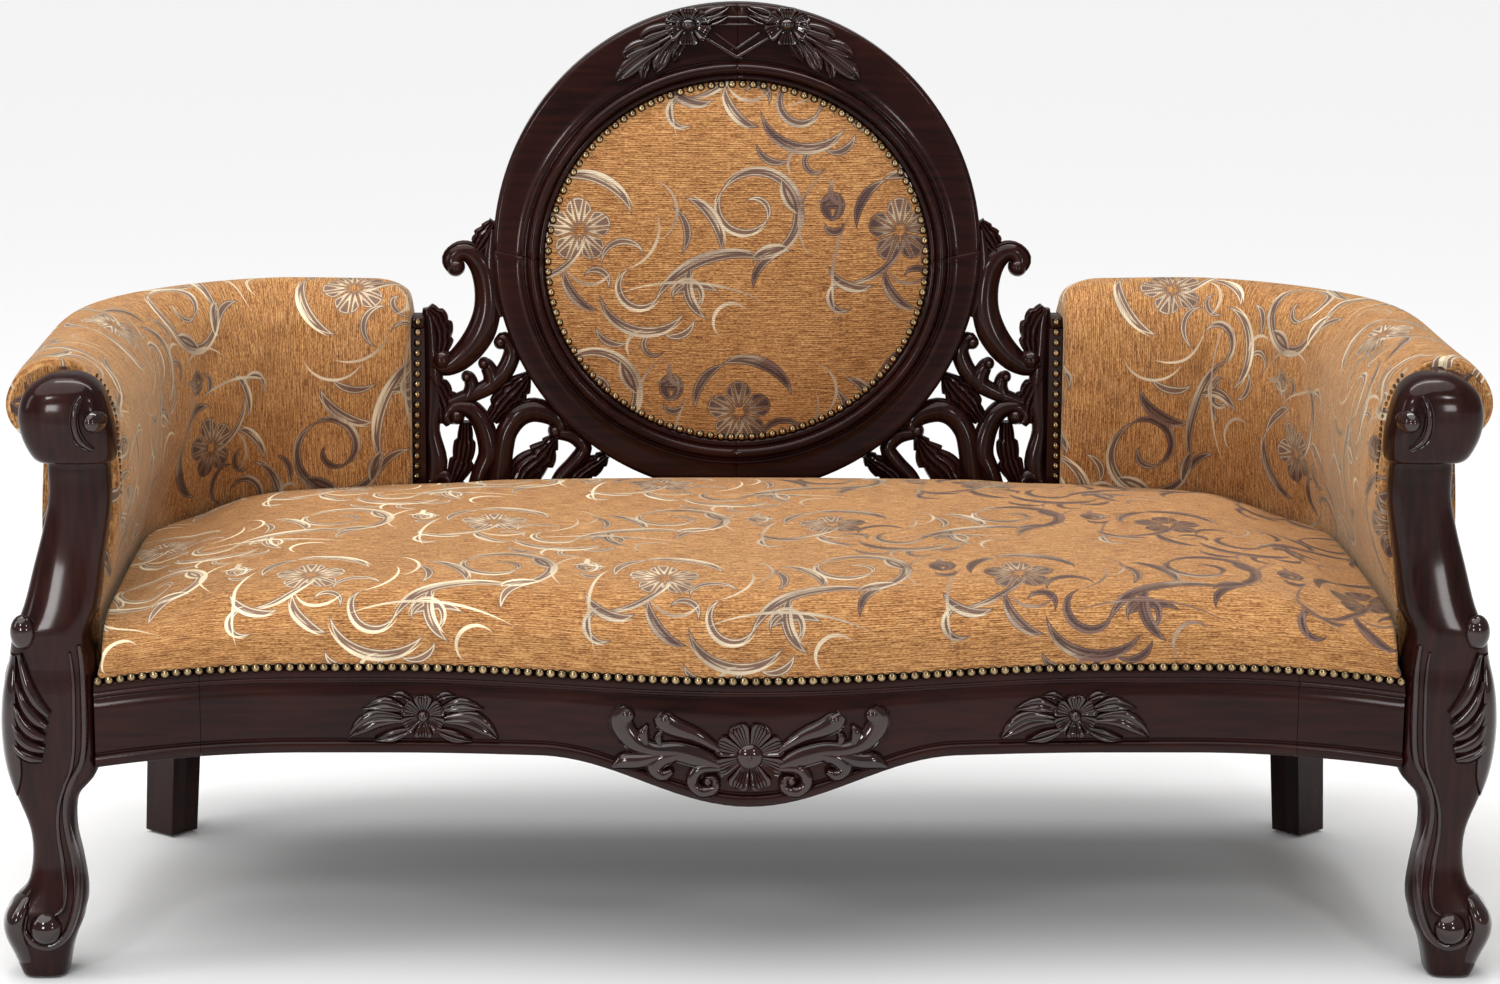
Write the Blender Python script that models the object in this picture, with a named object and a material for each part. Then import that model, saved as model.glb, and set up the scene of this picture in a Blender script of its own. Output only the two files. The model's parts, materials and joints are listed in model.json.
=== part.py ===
"""Cameo-back settee: a carved show-wood frame with a round upholstered cameo, pierced
scroll brackets, two wrap-around upholstered wings and a sprung, nailed seat.

Metres, +Z up. The settee faces -Y, and the middle of its footprint is at the origin.
"""
import math

import bmesh
import bpy
from mathutils import Vector

# Clearance between pieces that touch
GAP = 0.0003

# Front legs, each one piece of wood from the foot to the knob of the arm
WIDTH = 1.732
LEG_FACE_Y = -0.330
LEG_DEPTH = 0.065
KNOB_TOP = 0.712
LEG_CORNER = 0.011
KNEE_WIDTH = 0.114

# Foot glides
GLIDE_RADIUS = 0.018
GLIDE_HEIGHT = 0.003

# Front rail, serpentine in plan and along its lower edge
RAIL_SETBACK = 0.005
RAIL_THICKNESS = 0.032
RAIL_TOP = 0.370
RAIL_HEIGHT = 0.100
RAIL_BOW = 0.030
RAIL_BOW_REACH = 0.42
RAIL_DROP = 0.056
RAIL_DROP_REACH = 0.24
RAIL_TOP_DIP = 0.009
RAIL_END_FALL = 0.018
RAIL_END_LENGTH = 0.122
TENON_LENGTH = 0.028
TENON_THICKNESS = 0.018
TENON_SHOULDER = 0.014

# Line of the side and back frame: straight side, round corner, straight back
SIDE_INSET = 0.081
FRAME_DEPTH = 0.615
CORNER_RADIUS = 0.220
CORNER_STEPS = 8
STATION_MARGIN = 0.002
FRAME_OUT = 0.020
SEAT_RAIL_HEIGHT = 0.088

# Rear legs, set square to the round corners and splayed
REAR_LEG_HALF = 0.026
REAR_FOOT_HALF = 0.024
REAR_LEG_SPLAY = 0.022

# Hidden arm rail and corner post, and the back stiles
ARM_FRAME_HALF = 0.020
ARM_RAIL_DROP = 0.050
ARM_RAIL_HEIGHT = 0.040
STILE_WIDTH = 0.040
STILE_SHOW = 0.017

# Cameo: a leaning ring in four segments, with an oval pad
CAMEO_RADIUS = 0.3125
CAMEO_TUCK = 0.008
CAMEO_SET_FORWARD = 0.005
CAMEO_LEAN = math.radians(5.46)
CAMEO_STEPS = 12
RING_THICKNESS = 0.035
RING_SIDE_WIDTH = 0.0665
RING_TOP_WIDTH = 0.0975
RING_BOTTOM_WIDTH = 0.0695
MOULDING_WIDTH = 0.027
MOULDING_HEIGHT = 0.009
DOWEL_RADIUS = 0.005
DOWEL_LENGTH = 0.050
BOARD_THICKNESS = 0.006
PAD_RIM = 0.012
PAD_CROWN = 0.030
BACK_PAD_CROWN = 0.012

# Cross rail under the cameo and the pierced brackets beside it
CROSS_RAIL_TUCK = 0.008
CROSS_RAIL_THICKNESS = 0.030
FRETWORK_WIDTH = 0.0875
FRETWORK_THICKNESS = 0.024
FRETWORK_UNIT = 0.001

# Seat
SEAT_HEIGHT = 0.092
SEAT_OVERHANG = 0.004
SEAT_CLEARANCE = 0.0015
SEAT_BACK_FULL = 0.92
SEAT_BACK_TUCKED = 0.72
STRAP_COUNT = 7
STRAP_WIDTH = 0.050
STRAP_THICKNESS = 0.003
STRAP_MARGIN = 0.010
BRACE_X = 0.290
BRACE_WIDTH = 0.040
BRACE_DROP = 0.022
DUST_COVER_THICKNESS = 0.0015

# Wings: padding over the arm rail, rolled outwards
WING_RISE = 0.010
WING_PAD_SEAT = 0.034
WING_PAD_FULL = 0.064
WING_ROLL_OUT = 0.066
WING_END_ROUND = 0.050
COVER_THICKNESS = 0.004
COVER_RISE = 0.010

# Nail bands
BAND_WIDTH = 0.010
BAND_THICKNESS = 0.002

# Corner blocks and leg bolts
BLOCK_LEG = 0.130
BLOCK_HEIGHT = 0.066
REAR_BLOCK_REACH = 0.085
REAR_BLOCK_DEPTH = 0.030
BOLT_RADIUS = 0.004
BOLT_HEAD_RADIUS = 0.008
BOLT_HEAD_HEIGHT = 0.005
BOLT_DEPTH = 0.014
BOLT_SHIFT = 0.010

# Finish: colour, roughness, metallic
FINISHES = {
    "dark_mahogany": ((0.030, 0.010, 0.008), 0.28, 0.0),
    "frame_timber": ((0.330, 0.200, 0.110), 0.65, 0.0),
    "brocade": ((0.520, 0.270, 0.085), 0.85, 0.0),
    "antique_brass": ((0.300, 0.200, 0.080), 0.35, 1.0),
    "jute": ((0.420, 0.310, 0.180), 0.90, 0.0),
    "cambric": ((0.020, 0.020, 0.022), 0.90, 0.0),
    "steel": ((0.500, 0.500, 0.500), 0.40, 1.0),
    "nylon": ((0.030, 0.030, 0.030), 0.50, 0.0),
}

KNEE_INNER_X = WIDTH / 2 - KNEE_WIDTH
RAIL_END_X = KNEE_INNER_X - RAIL_END_LENGTH
SIDE_X = WIDTH / 2 - SIDE_INSET
RAIL_BOTTOM = RAIL_TOP - RAIL_HEIGHT
SEAT_RAIL_TOP = RAIL_TOP - RAIL_END_FALL
SEAT_RAIL_BOTTOM = SEAT_RAIL_TOP - SEAT_RAIL_HEIGHT
SEAT_TOP = RAIL_TOP + SEAT_HEIGHT
CROSS_RAIL_TOP = SEAT_TOP - CROSS_RAIL_TUCK
CAMEO_BOTTOM = CROSS_RAIL_TOP - CAMEO_TUCK
BRACE_TOP = SEAT_RAIL_TOP - BRACE_DROP
COVER_BOTTOM = SEAT_RAIL_BOTTOM + COVER_RISE
ARM_RAIL_TOP = KNOB_TOP - ARM_RAIL_DROP
ARM_RAIL_BOTTOM = ARM_RAIL_TOP - ARM_RAIL_HEIGHT
WING_TOP = KNOB_TOP + WING_RISE
STILE_INNER_X = CAMEO_RADIUS + FRETWORK_WIDTH
OVAL_HALF_WIDTH = CAMEO_RADIUS - RING_SIDE_WIDTH
OVAL_HALF_HEIGHT = CAMEO_RADIUS - (RING_TOP_WIDTH + RING_BOTTOM_WIDTH) / 2
OVAL_DROP = (RING_TOP_WIDTH - RING_BOTTOM_WIDTH) / 2
LEG_BACK_Y = LEG_FACE_Y + LEG_DEPTH
BACK_Y = LEG_FACE_Y + FRAME_DEPTH
CAMEO_BASE_Y = BACK_Y - CAMEO_SET_FORWARD
RAIL_BACK_Y = LEG_FACE_Y + RAIL_SETBACK + RAIL_THICKNESS
FRAME_IN = SIDE_X - KNEE_INNER_X
CORNER_X = SIDE_X - CORNER_RADIUS
CORNER_Y = BACK_Y - CORNER_RADIUS
ARC_LENGTH = CORNER_RADIUS * math.pi / 2
STILE_OUTER_X = STILE_INNER_X + STILE_WIDTH
STRAP_PITCH = 2 * (CORNER_X - STRAP_MARGIN) / (STRAP_COUNT - 1)
PATH_FRONT = LEG_BACK_Y + GAP - CORNER_Y
PATH_CORNER = ARC_LENGTH / 2
PATH_STILE = ARC_LENGTH + CORNER_X - STILE_OUTER_X - GAP
PATH_WING_END = ARC_LENGTH + CORNER_X - STILE_INNER_X - STILE_SHOW
CAMEO_CENTRE_Z = CAMEO_BOTTOM + CAMEO_RADIUS
OVAL_CENTRE_Z = CAMEO_CENTRE_Z - OVAL_DROP


def clear_scene():
    for item in list(bpy.data.objects):
        bpy.data.objects.remove(item, do_unlink=True)


def material(finish):
    found = bpy.data.materials.get(finish)
    if found:
        return found
    colour, roughness, metallic = FINISHES[finish]
    made = bpy.data.materials.new(finish)
    made.use_nodes = True
    shader = made.node_tree.nodes["Principled BSDF"]
    shader.inputs["Base Color"].default_value = (*colour, 1.0)
    shader.inputs["Roughness"].default_value = roughness
    shader.inputs["Metallic"].default_value = metallic
    made.diffuse_color = (*colour, 1.0)
    return made


def add_piece(name, bm, finish, parent):
    """Turns a bmesh into one named piece, shaded smooth except at real edges."""
    mesh = bpy.data.meshes.new(name)
    bm.to_mesh(mesh)
    bm.free()
    mesh.shade_smooth()
    mesh.set_sharp_from_angle(angle=math.radians(38))
    piece = bpy.data.objects.new(name, mesh)
    piece.data.materials.append(material(finish))
    piece.parent = parent
    bpy.context.scene.collection.objects.link(piece)
    return piece


def add_pair(name, bm, finish, parent):
    """A right-hand piece and its mirror image on the left."""
    mirrored = bm.copy()
    bmesh.ops.scale(mirrored, vec=(-1, 1, 1), verts=mirrored.verts)
    bmesh.ops.reverse_faces(mirrored, faces=mirrored.faces)
    right = add_piece(name + "_right", bm, finish, parent)
    left = add_piece(name + "_left", mirrored, finish, parent)
    return right, left


def add_tool(name, bm, parent):
    """A shape that only cuts other pieces."""
    tool = add_piece(name, bm, "steel", parent)
    tool.hide_render = True
    tool.display_type = "WIRE"
    return tool


def add_tool_pair(name, bm, parent):
    mirrored = bm.copy()
    bmesh.ops.scale(mirrored, vec=(-1, 1, 1), verts=mirrored.verts)
    bmesh.ops.reverse_faces(mirrored, faces=mirrored.faces)
    right = add_tool(name + "_right", bm, parent)
    left = add_tool(name + "_left", mirrored, parent)
    return right, left


def combine(piece, tool, operation="DIFFERENCE"):
    change = piece.modifiers.new(tool.name, "BOOLEAN")
    change.object = tool
    change.operation = operation
    change.solver = "EXACT"


def loft(rings, closed=False):
    """A skin through rings of equal length, capped at both ends unless it closes on itself."""
    bm = bmesh.new()
    loops = []
    for ring in rings:
        loops.append([bm.verts.new(point) for point in ring])
    following = loops[1:] + loops[:1] if closed else loops[1:]
    for lower, upper in zip(loops, following):
        count = len(lower)
        for i in range(count):
            j = (i + 1) % count
            bm.faces.new((lower[i], lower[j], upper[j], upper[i]))
    if not closed:
        bm.faces.new(reversed(loops[0]))
        bm.faces.new(loops[-1])
    bmesh.ops.recalc_face_normals(bm, faces=bm.faces)
    return bm


def box_ring(x, y_low, y_high, z_low, z_high):
    """A rectangle square to X."""
    return [(x, y_low, z_low), (x, y_high, z_low), (x, y_high, z_high), (x, y_low, z_high)]


def box(x_low, x_high, y_low, y_high, z_low, z_high):
    return loft([box_ring(x_low, y_low, y_high, z_low, z_high),
                 box_ring(x_high, y_low, y_high, z_low, z_high)])


def rod(start, end, sections, sides=10):
    """A turned piece along a line; sections are (distance from start, radius)."""
    start = Vector(start)
    axis = (Vector(end) - start).normalized()
    across = axis.orthogonal().normalized()
    other = axis.cross(across)
    rings = []
    for distance, radius in sections:
        ring = []
        for k in range(sides):
            turn = 2 * math.pi * k / sides
            ring.append(start + axis * distance
                        + (across * math.cos(turn) + other * math.sin(turn)) * radius)
        rings.append(ring)
    return loft(rings)


def smooth_run(points, steps):
    """Points on a smooth curve through the given tuples, whatever their length."""
    run = []
    last = len(points) - 1
    for i in range(last):
        before = points[max(i - 1, 0)]
        here = points[i]
        there = points[i + 1]
        after = points[min(i + 2, last)]
        for k in range(steps):
            t = k / steps
            values = []
            for p, a, b, q in zip(before, here, there, after):
                values.append(0.5 * (2 * a + (b - p) * t + (2 * p - 5 * a + 4 * b - q) * t * t
                                     + (3 * a - p - 3 * b + q) * t ** 3))
            run.append(tuple(values))
    run.append(tuple(points[last]))
    return run


def bump(x, reach):
    """A smooth swell, one at the middle and nothing past its reach."""
    if abs(x) >= reach:
        return 0.0
    return 0.5 + 0.5 * math.cos(math.pi * x / reach)


def even(low, high, count):
    return [low + (high - low) * i / (count - 1) for i in range(count)]


def on_path(s, out):
    """Plan point at distance s past the start of the round corner, moved outwards by out.

    The corner is a run of flats that every piece shares, so that neighbours stay parallel.
    """
    if s <= 0:
        return SIDE_X + out, CORNER_Y + s
    if s >= ARC_LENGTH:
        return CORNER_X - (s - ARC_LENGTH), BACK_Y + out
    place = s / ARC_LENGTH * CORNER_STEPS
    step = min(int(place), CORNER_STEPS - 1)
    points = []
    for k in (step, step + 1):
        turn = math.pi / 2 * k / CORNER_STEPS
        radius = CORNER_RADIUS + out
        points.append((CORNER_X + radius * math.cos(turn), CORNER_Y + radius * math.sin(turn)))
    share = place - step
    return tuple(a + (b - a) * share for a, b in zip(*points))


def path_stations(start, end):
    """Distances along the frame line from start to end, with every corner flat's edges."""
    edges = [ARC_LENGTH * k / CORNER_STEPS for k in range(CORNER_STEPS + 1)]
    inside = [s for s in edges if start + STATION_MARGIN < s < end - STATION_MARGIN]
    return [start] + inside + [end]


def path_ring(s, section):
    """A section of (out, height) points stood up on the frame line."""
    return [(*on_path(s, out), height) for out, height in section]


def rail_section(low, high, inner, outer):
    return [(-inner, low), (outer, low), (outer, high), (-inner, high)]


def reclined(x, depth, z):
    """A point of the leaning back: depth is behind the middle plane of the cameo."""
    return Vector((x, CAMEO_BASE_Y + (z - CAMEO_BOTTOM) * math.tan(CAMEO_LEAN) + depth, z))


def rail_front(x):
    return LEG_FACE_Y + RAIL_SETBACK - RAIL_BOW * bump(x, RAIL_BOW_REACH)


def rail_end_share(x):
    """Nothing along the middle of the rail, growing to one at the legs."""
    start = KNEE_INNER_X - 2 * (KNEE_INNER_X - RAIL_END_X)
    return max(0.0, (abs(x) - start) / (KNEE_INNER_X - start)) ** 2


def rail_top(x):
    return RAIL_TOP - RAIL_TOP_DIP * bump(x, RAIL_BOW_REACH) - RAIL_END_FALL * rail_end_share(x)


def rail_bottom(x):
    return RAIL_BOTTOM - RAIL_DROP * bump(x, RAIL_DROP_REACH) - RAIL_END_FALL * rail_end_share(x)


# Front leg profile: height above the glide, inset from the outside width, width, set forward
# of the leg's face, set in from the leg's back. The knee's heights are from the rail's lower
# edge, and the post's are below the top of the knob.
LEG_PROFILE = [
    (0.000, 0.020, 0.054, 0.004, 0.009),
    (0.030, 0.010, 0.070, 0.010, 0.009),
    (0.062, 0.000, 0.093, 0.014, 0.007),
    (0.085, 0.010, 0.088, 0.010, 0.009),
    (0.108, 0.029, 0.069, 0.002, 0.011),
    (0.140, 0.036, 0.057, -0.004, 0.011),
    (0.175, 0.034, 0.053, -0.004, 0.011),
    (0.212, 0.021, 0.070, 0.000, 0.009),
]
KNEE_PROFILE = [
    (-0.024, 0.010, 0.000),
    (0.025, 0.007, 0.003),
    (0.070, 0.010, 0.003),
    (0.108, 0.017, 0.000),
]
POST_PROFILE = [
    (-0.302, 0.022, 0.087, 0.000, 0.000),
    (-0.270, 0.035, 0.086, 0.000, 0.000),
    (-0.225, 0.047, 0.080, 0.000, 0.002),
    (-0.185, 0.058, 0.075, 0.000, 0.005),
    (-0.147, 0.066, 0.073, 0.000, 0.007),
    (-0.110, 0.063, 0.077, 0.000, 0.005),
    (-0.092, 0.054, 0.091, 0.003, 0.002),
    (-0.068, 0.039, 0.107, 0.008, 0.001),
    (-0.044, 0.036, 0.105, 0.009, 0.001),
    (-0.022, 0.043, 0.092, 0.005, 0.002),
    (-0.007, 0.062, 0.060, -0.004, 0.009),
    (0.000, 0.078, 0.028, -0.018, 0.019),
]


def leg_stations():
    half = WIDTH / 2
    lower = [(h + GLIDE_HEIGHT, half - inset, width, front, back)
             for h, inset, width, front, back in LEG_PROFILE]
    knee = [(RAIL_BOTTOM + h, half - inset, half - inset - KNEE_INNER_X, front, 0.0)
            for h, inset, front in KNEE_PROFILE]
    post = [(KNOB_TOP + h, half - inset, width, front, back)
            for h, inset, width, front, back in POST_PROFILE]
    shank = smooth_run(lower + knee[:1], 2)
    return shank[:-1] + knee[:-1] + smooth_run(knee[-1:] + post, 1)


def leg_ring(station):
    """A rectangle with rounded corners, twelve points."""
    height, outer, width, forward, inset = station
    front = LEG_FACE_Y - forward
    back = LEG_BACK_Y - inset
    radius = min(LEG_CORNER, 0.42 * width, 0.42 * (back - front))
    ring = []
    corners = [(outer - radius, back - radius), (outer - width + radius, back - radius),
               (outer - width + radius, front + radius), (outer - radius, front + radius)]
    for quarter, (x, y) in enumerate(corners):
        for k in range(3):
            turn = math.pi / 2 * (quarter + k / 2)
            ring.append((x + radius * math.cos(turn), y + radius * math.sin(turn), height))
    return ring


def tenon_y():
    """Front and back of the front rail's tenons."""
    middle = RAIL_BACK_Y - RAIL_THICKNESS / 2
    return middle - TENON_THICKNESS / 2, middle + TENON_THICKNESS / 2


def tenon_z(x):
    return rail_bottom(x) + TENON_SHOULDER, rail_top(x) - TENON_SHOULDER


def side_tenon(low, high):
    """Section of a tenon on the frame line, inside a rail of those heights."""
    half = TENON_THICKNESS / 2
    return rail_section(low + TENON_SHOULDER, high - TENON_SHOULDER, half, half)


def grown(section, clearance):
    """A rectangular section with its clearance added all round."""
    outs = [p[0] for p in section]
    heights = [p[1] for p in section]
    return rail_section(min(heights) - clearance, max(heights) + clearance,
                        clearance - min(outs), max(outs) + clearance)


def path_mortise(name, start, end, section, parent):
    """A pair of cutters for tenons that lie along the frame line."""
    section = grown(section, GAP)
    return add_tool_pair(name, loft([path_ring(s, section) for s in (start, end)]), parent)


def front_legs(parent):
    legs = add_pair("front_leg", loft([leg_ring(s) for s in leg_stations()]),
                    "dark_mahogany", parent)
    y_low, y_high = tenon_y()
    z_low, z_high = tenon_z(KNEE_INNER_X)
    slot = box(KNEE_INNER_X - TENON_LENGTH, KNEE_INNER_X + TENON_LENGTH + GAP,
               y_low - GAP, y_high + GAP, z_low - GAP, z_high + GAP)
    mortises = [add_tool_pair("front_rail_mortise", slot, parent)]
    reach = (PATH_FRONT - TENON_LENGTH / 2 - GAP, PATH_FRONT + TENON_LENGTH)
    for name, low, high in (("side_rail_mortise", SEAT_RAIL_BOTTOM, SEAT_RAIL_TOP),
                            ("arm_rail_mortise", ARM_RAIL_BOTTOM, ARM_RAIL_TOP)):
        mortises.append(path_mortise(name, *reach, side_tenon(low, high), parent))
    for pair in mortises:
        for leg, tool in zip(legs, pair):
            combine(leg, tool)
    return legs


def front_rail(parent):
    y_low, y_high = tenon_y()
    z_low, z_high = tenon_z(RAIL_END_X)
    tip = RAIL_END_X + TENON_LENGTH
    rings = [box_ring(-tip, y_low, y_high, z_low, z_high),
             box_ring(-RAIL_END_X, y_low, y_high, z_low, z_high)]
    for x in even(-RAIL_END_X, RAIL_END_X, 31):
        rings.append(box_ring(x, rail_front(x), RAIL_BACK_Y, rail_bottom(x), rail_top(x)))
    rings.append(box_ring(RAIL_END_X, y_low, y_high, z_low, z_high))
    rings.append(box_ring(tip, y_low, y_high, z_low, z_high))
    add_piece("front_rail", loft(rings), "dark_mahogany", parent)


def rail_ends(parent):
    """Short shaped pieces that carry the rail's lower edge into the legs."""
    y_low, y_high = tenon_y()
    rings = []
    for x in even(RAIL_END_X + GAP, KNEE_INNER_X - GAP, 6):
        rings.append(box_ring(x, rail_front(x), RAIL_BACK_Y, rail_bottom(x), rail_top(x)))
    z_low, z_high = tenon_z(KNEE_INNER_X)
    for x in (KNEE_INNER_X - GAP, KNEE_INNER_X + TENON_LENGTH):
        rings.append(box_ring(x, y_low, y_high, z_low, z_high))
    ends = add_pair("rail_end", loft(rings), "dark_mahogany", parent)
    z_low, z_high = tenon_z(RAIL_END_X)
    slot = box(RAIL_END_X - TENON_LENGTH, RAIL_END_X + TENON_LENGTH + GAP,
               y_low - GAP, y_high + GAP, z_low - GAP, z_high + GAP)
    for end, tool in zip(ends, add_tool_pair("rail_end_slot", slot, parent)):
        combine(end, tool)


def tenoned_rail(start, end, low, high, inner, outer):
    """Rings of a rail along the frame line, with a tenon at both ends."""
    tenon = side_tenon(low, high)
    rings = [path_ring(start - TENON_LENGTH / 2, tenon), path_ring(start, tenon)]
    for s in path_stations(start, end):
        rings.append(path_ring(s, rail_section(low, high, inner, outer)))
    rings += [path_ring(end, tenon), path_ring(end + TENON_LENGTH / 2, tenon)]
    return rings


def seat_rails(parent):
    before_leg = PATH_CORNER - REAR_LEG_HALF - GAP
    rings = tenoned_rail(PATH_FRONT, before_leg, SEAT_RAIL_BOTTOM, SEAT_RAIL_TOP,
                         FRAME_IN, FRAME_OUT)
    add_pair("side_rail", loft(rings), "frame_timber", parent)
    tenon = side_tenon(SEAT_RAIL_BOTTOM, SEAT_RAIL_TOP)
    section = rail_section(SEAT_RAIL_BOTTOM, SEAT_RAIL_TOP, FRAME_IN, FRAME_OUT)
    past_leg = PATH_CORNER + REAR_LEG_HALF + GAP
    half = [path_ring(past_leg - TENON_LENGTH / 2, tenon), path_ring(past_leg, tenon)]
    for s in path_stations(past_leg, ARC_LENGTH):
        half.append(path_ring(s, section))
    other = [[(-x, y, z) for x, y, z in ring] for ring in reversed(half)]
    add_piece("rear_rail", loft(half + other), "frame_timber", parent)


def rear_leg_ring(height, along, inner, outer, splay):
    """Six points round the middle of the corner, moved out along the corner's diagonal."""
    shift = splay * math.sqrt(0.5)
    ring = []
    for step, out in ((-along, -inner), (0, -inner), (along, -inner),
                      (along, outer), (0, outer), (-along, outer)):
        x, y = on_path(PATH_CORNER + step, out)
        ring.append((x + shift, y + shift, height))
    return ring


def rear_legs(parent):
    foot = REAR_FOOT_HALF
    leg = REAR_LEG_HALF
    post = ARM_FRAME_HALF
    rings = [
        rear_leg_ring(GLIDE_HEIGHT, foot, foot, foot, REAR_LEG_SPLAY),
        rear_leg_ring(SEAT_RAIL_BOTTOM, leg, leg, leg, 0),
        rear_leg_ring(SEAT_RAIL_BOTTOM, leg, FRAME_IN, FRAME_OUT, 0),
        rear_leg_ring(SEAT_RAIL_TOP, leg, FRAME_IN, FRAME_OUT, 0),
        rear_leg_ring(SEAT_RAIL_TOP, post, post, post, 0),
        rear_leg_ring(ARM_RAIL_BOTTOM - GAP, post, post, post, 0),
    ]
    legs = add_pair("rear_leg", loft(rings), "dark_mahogany", parent)
    tenon = side_tenon(SEAT_RAIL_BOTTOM, SEAT_RAIL_TOP)
    depth = TENON_LENGTH / 2 + GAP
    for name, side in (("rear_leg_side_mortise", -1), ("rear_leg_back_mortise", 1)):
        face = PATH_CORNER + side * (REAR_LEG_HALF + GAP)
        reach = sorted((face + side * depth, face - side * depth))
        for piece, tool in zip(legs, path_mortise(name, *reach, tenon, parent)):
            combine(piece, tool)
    return legs


def arm_rails(parent):
    rings = tenoned_rail(PATH_FRONT, PATH_STILE, ARM_RAIL_BOTTOM, ARM_RAIL_TOP,
                         ARM_FRAME_HALF, ARM_FRAME_HALF)
    add_pair("arm_rail", loft(rings), "frame_timber", parent)


def back_stiles(parent):
    stile = box(STILE_INNER_X, STILE_OUTER_X, BACK_Y - FRAME_OUT, BACK_Y + FRAME_OUT,
                SEAT_RAIL_TOP + GAP, ARM_RAIL_TOP)
    stiles = add_pair("back_stile", stile, "dark_mahogany", parent)
    tenon = side_tenon(ARM_RAIL_BOTTOM, ARM_RAIL_TOP)
    reach = (PATH_STILE - TENON_LENGTH, PATH_STILE + TENON_LENGTH / 2 + GAP)
    for piece, tool in zip(stiles, path_mortise("stile_mortise", *reach, tenon, parent)):
        combine(piece, tool)


def cameo_point(radius, turn, depth):
    return reclined(radius * math.cos(turn), depth, CAMEO_CENTRE_Z + radius * math.sin(turn))


def oval_point(inset, turn, depth):
    """A point on the cameo's oval opening, moved inwards."""
    return reclined((OVAL_HALF_WIDTH - inset) * math.cos(turn), depth,
                    OVAL_CENTRE_Z + (OVAL_HALF_HEIGHT - inset) * math.sin(turn))


def cameo_turns():
    count = 4 * CAMEO_STEPS
    return [2 * math.pi * k / count for k in range(count)]


def ring_section(turn):
    """Front chamfer, flat, raised moulding at the oval edge, and the back."""
    face = -RING_THICKNESS / 2
    edge = cameo_point(CAMEO_RADIUS, turn, 0)
    sight = oval_point(0, turn, 0)
    across = edge - sight
    width = across.length
    lift = Vector((0, 1, 0))
    chamfer = MOULDING_HEIGHT / 2
    section = []
    for out, depth in ((width, face + chamfer), (width - chamfer, face), (MOULDING_WIDTH, face),
                       (0.75 * MOULDING_WIDTH, face - MOULDING_HEIGHT),
                       (0.3 * MOULDING_WIDTH, face - MOULDING_HEIGHT),
                       (0, face), (0, -face), (width, -face)):
        section.append(sight + across * (out / width) + lift * depth)
    return section


def cameo_ring(parent):
    quarters = ("upper_right", "upper_left", "lower_left", "lower_right")
    trim = GAP / 2 / (OVAL_HALF_HEIGHT - OVAL_DROP)
    segments = []
    for index, name in enumerate(quarters):
        low = math.pi / 2 * index
        turns = [low + math.pi / 2 * k / CAMEO_STEPS for k in range(CAMEO_STEPS + 1)]
        turns[0] += trim
        turns[-1] -= trim
        bm = loft([ring_section(turn) for turn in turns])
        segments.append(add_piece("cameo_ring_" + name, bm, "dark_mahogany", parent))
    joints = ("right", "top", "left", "bottom")
    for index, name in enumerate(joints):
        turn = math.pi / 2 * index
        middle = (cameo_point(CAMEO_RADIUS, turn, 0) + oval_point(0, turn, 0)) / 2
        along = reclined(-math.sin(turn), 0, math.cos(turn)) - reclined(0, 0, 0)
        along.normalize()
        half = along * DOWEL_LENGTH / 2
        dowel = rod(middle - half, middle + half,
                    ((0, DOWEL_RADIUS), (DOWEL_LENGTH, DOWEL_RADIUS)))
        add_piece("ring_dowel_" + name, dowel, "frame_timber", parent)
        bore = rod(middle - half - along * GAP, middle + half,
                   ((0, DOWEL_RADIUS + 2 * GAP), (DOWEL_LENGTH + 2 * GAP, DOWEL_RADIUS + 2 * GAP)))
        tool = add_tool("dowel_bore_" + name, bore, parent)
        for segment in (segments[index], segments[index - 1]):
            combine(segment, tool)


def domed_pad(back, rim, crown, inset, shares):
    """An oval pad from its back to the top of its dome, in depth, through shares of its size."""
    rings = [[oval_point(inset, t, back) for t in cameo_turns()],
             [oval_point(inset, t, rim) for t in cameo_turns()]]
    for share in shares:
        depth = rim + crown * (1 - share ** 2.4) ** 0.8
        ring = []
        for t in cameo_turns():
            edge = oval_point(PAD_RIM, t, 0)
            centre = reclined(0, 0, OVAL_CENTRE_Z)
            ring.append(centre + (edge - centre) * share + Vector((0, depth, 0)))
        rings.append(ring)
    return loft(rings)


def cameo_upholstery(parent):
    face = -RING_THICKNESS / 2
    half_board = BOARD_THICKNESS / 2
    inset = 2 * GAP
    board = loft([[oval_point(inset, t, d) for t in cameo_turns()]
                  for d in (-half_board, half_board)])
    add_piece("cameo_board", board, "frame_timber", parent)
    pad = domed_pad(-half_board - GAP, face, -PAD_CROWN, inset, (1.0, 0.9, 0.75, 0.55, 0.3, 0.08))
    add_piece("cameo_pad", pad, "brocade", parent)
    pad = domed_pad(half_board + GAP, -face, BACK_PAD_CROWN, inset, (1.0, 0.8, 0.4))
    add_piece("cameo_back_pad", pad, "brocade", parent)
    low = (PAD_RIM - BAND_WIDTH) / 2
    band = []
    for t in cameo_turns():
        front = face - GAP - BAND_THICKNESS
        back = face - GAP
        band.append([oval_point(low, t, front), oval_point(low, t, back),
                     oval_point(low + BAND_WIDTH, t, back),
                     oval_point(low + BAND_WIDTH, t, front)])
    add_piece("cameo_nail_band", loft(band, closed=True), "antique_brass", parent)


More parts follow.
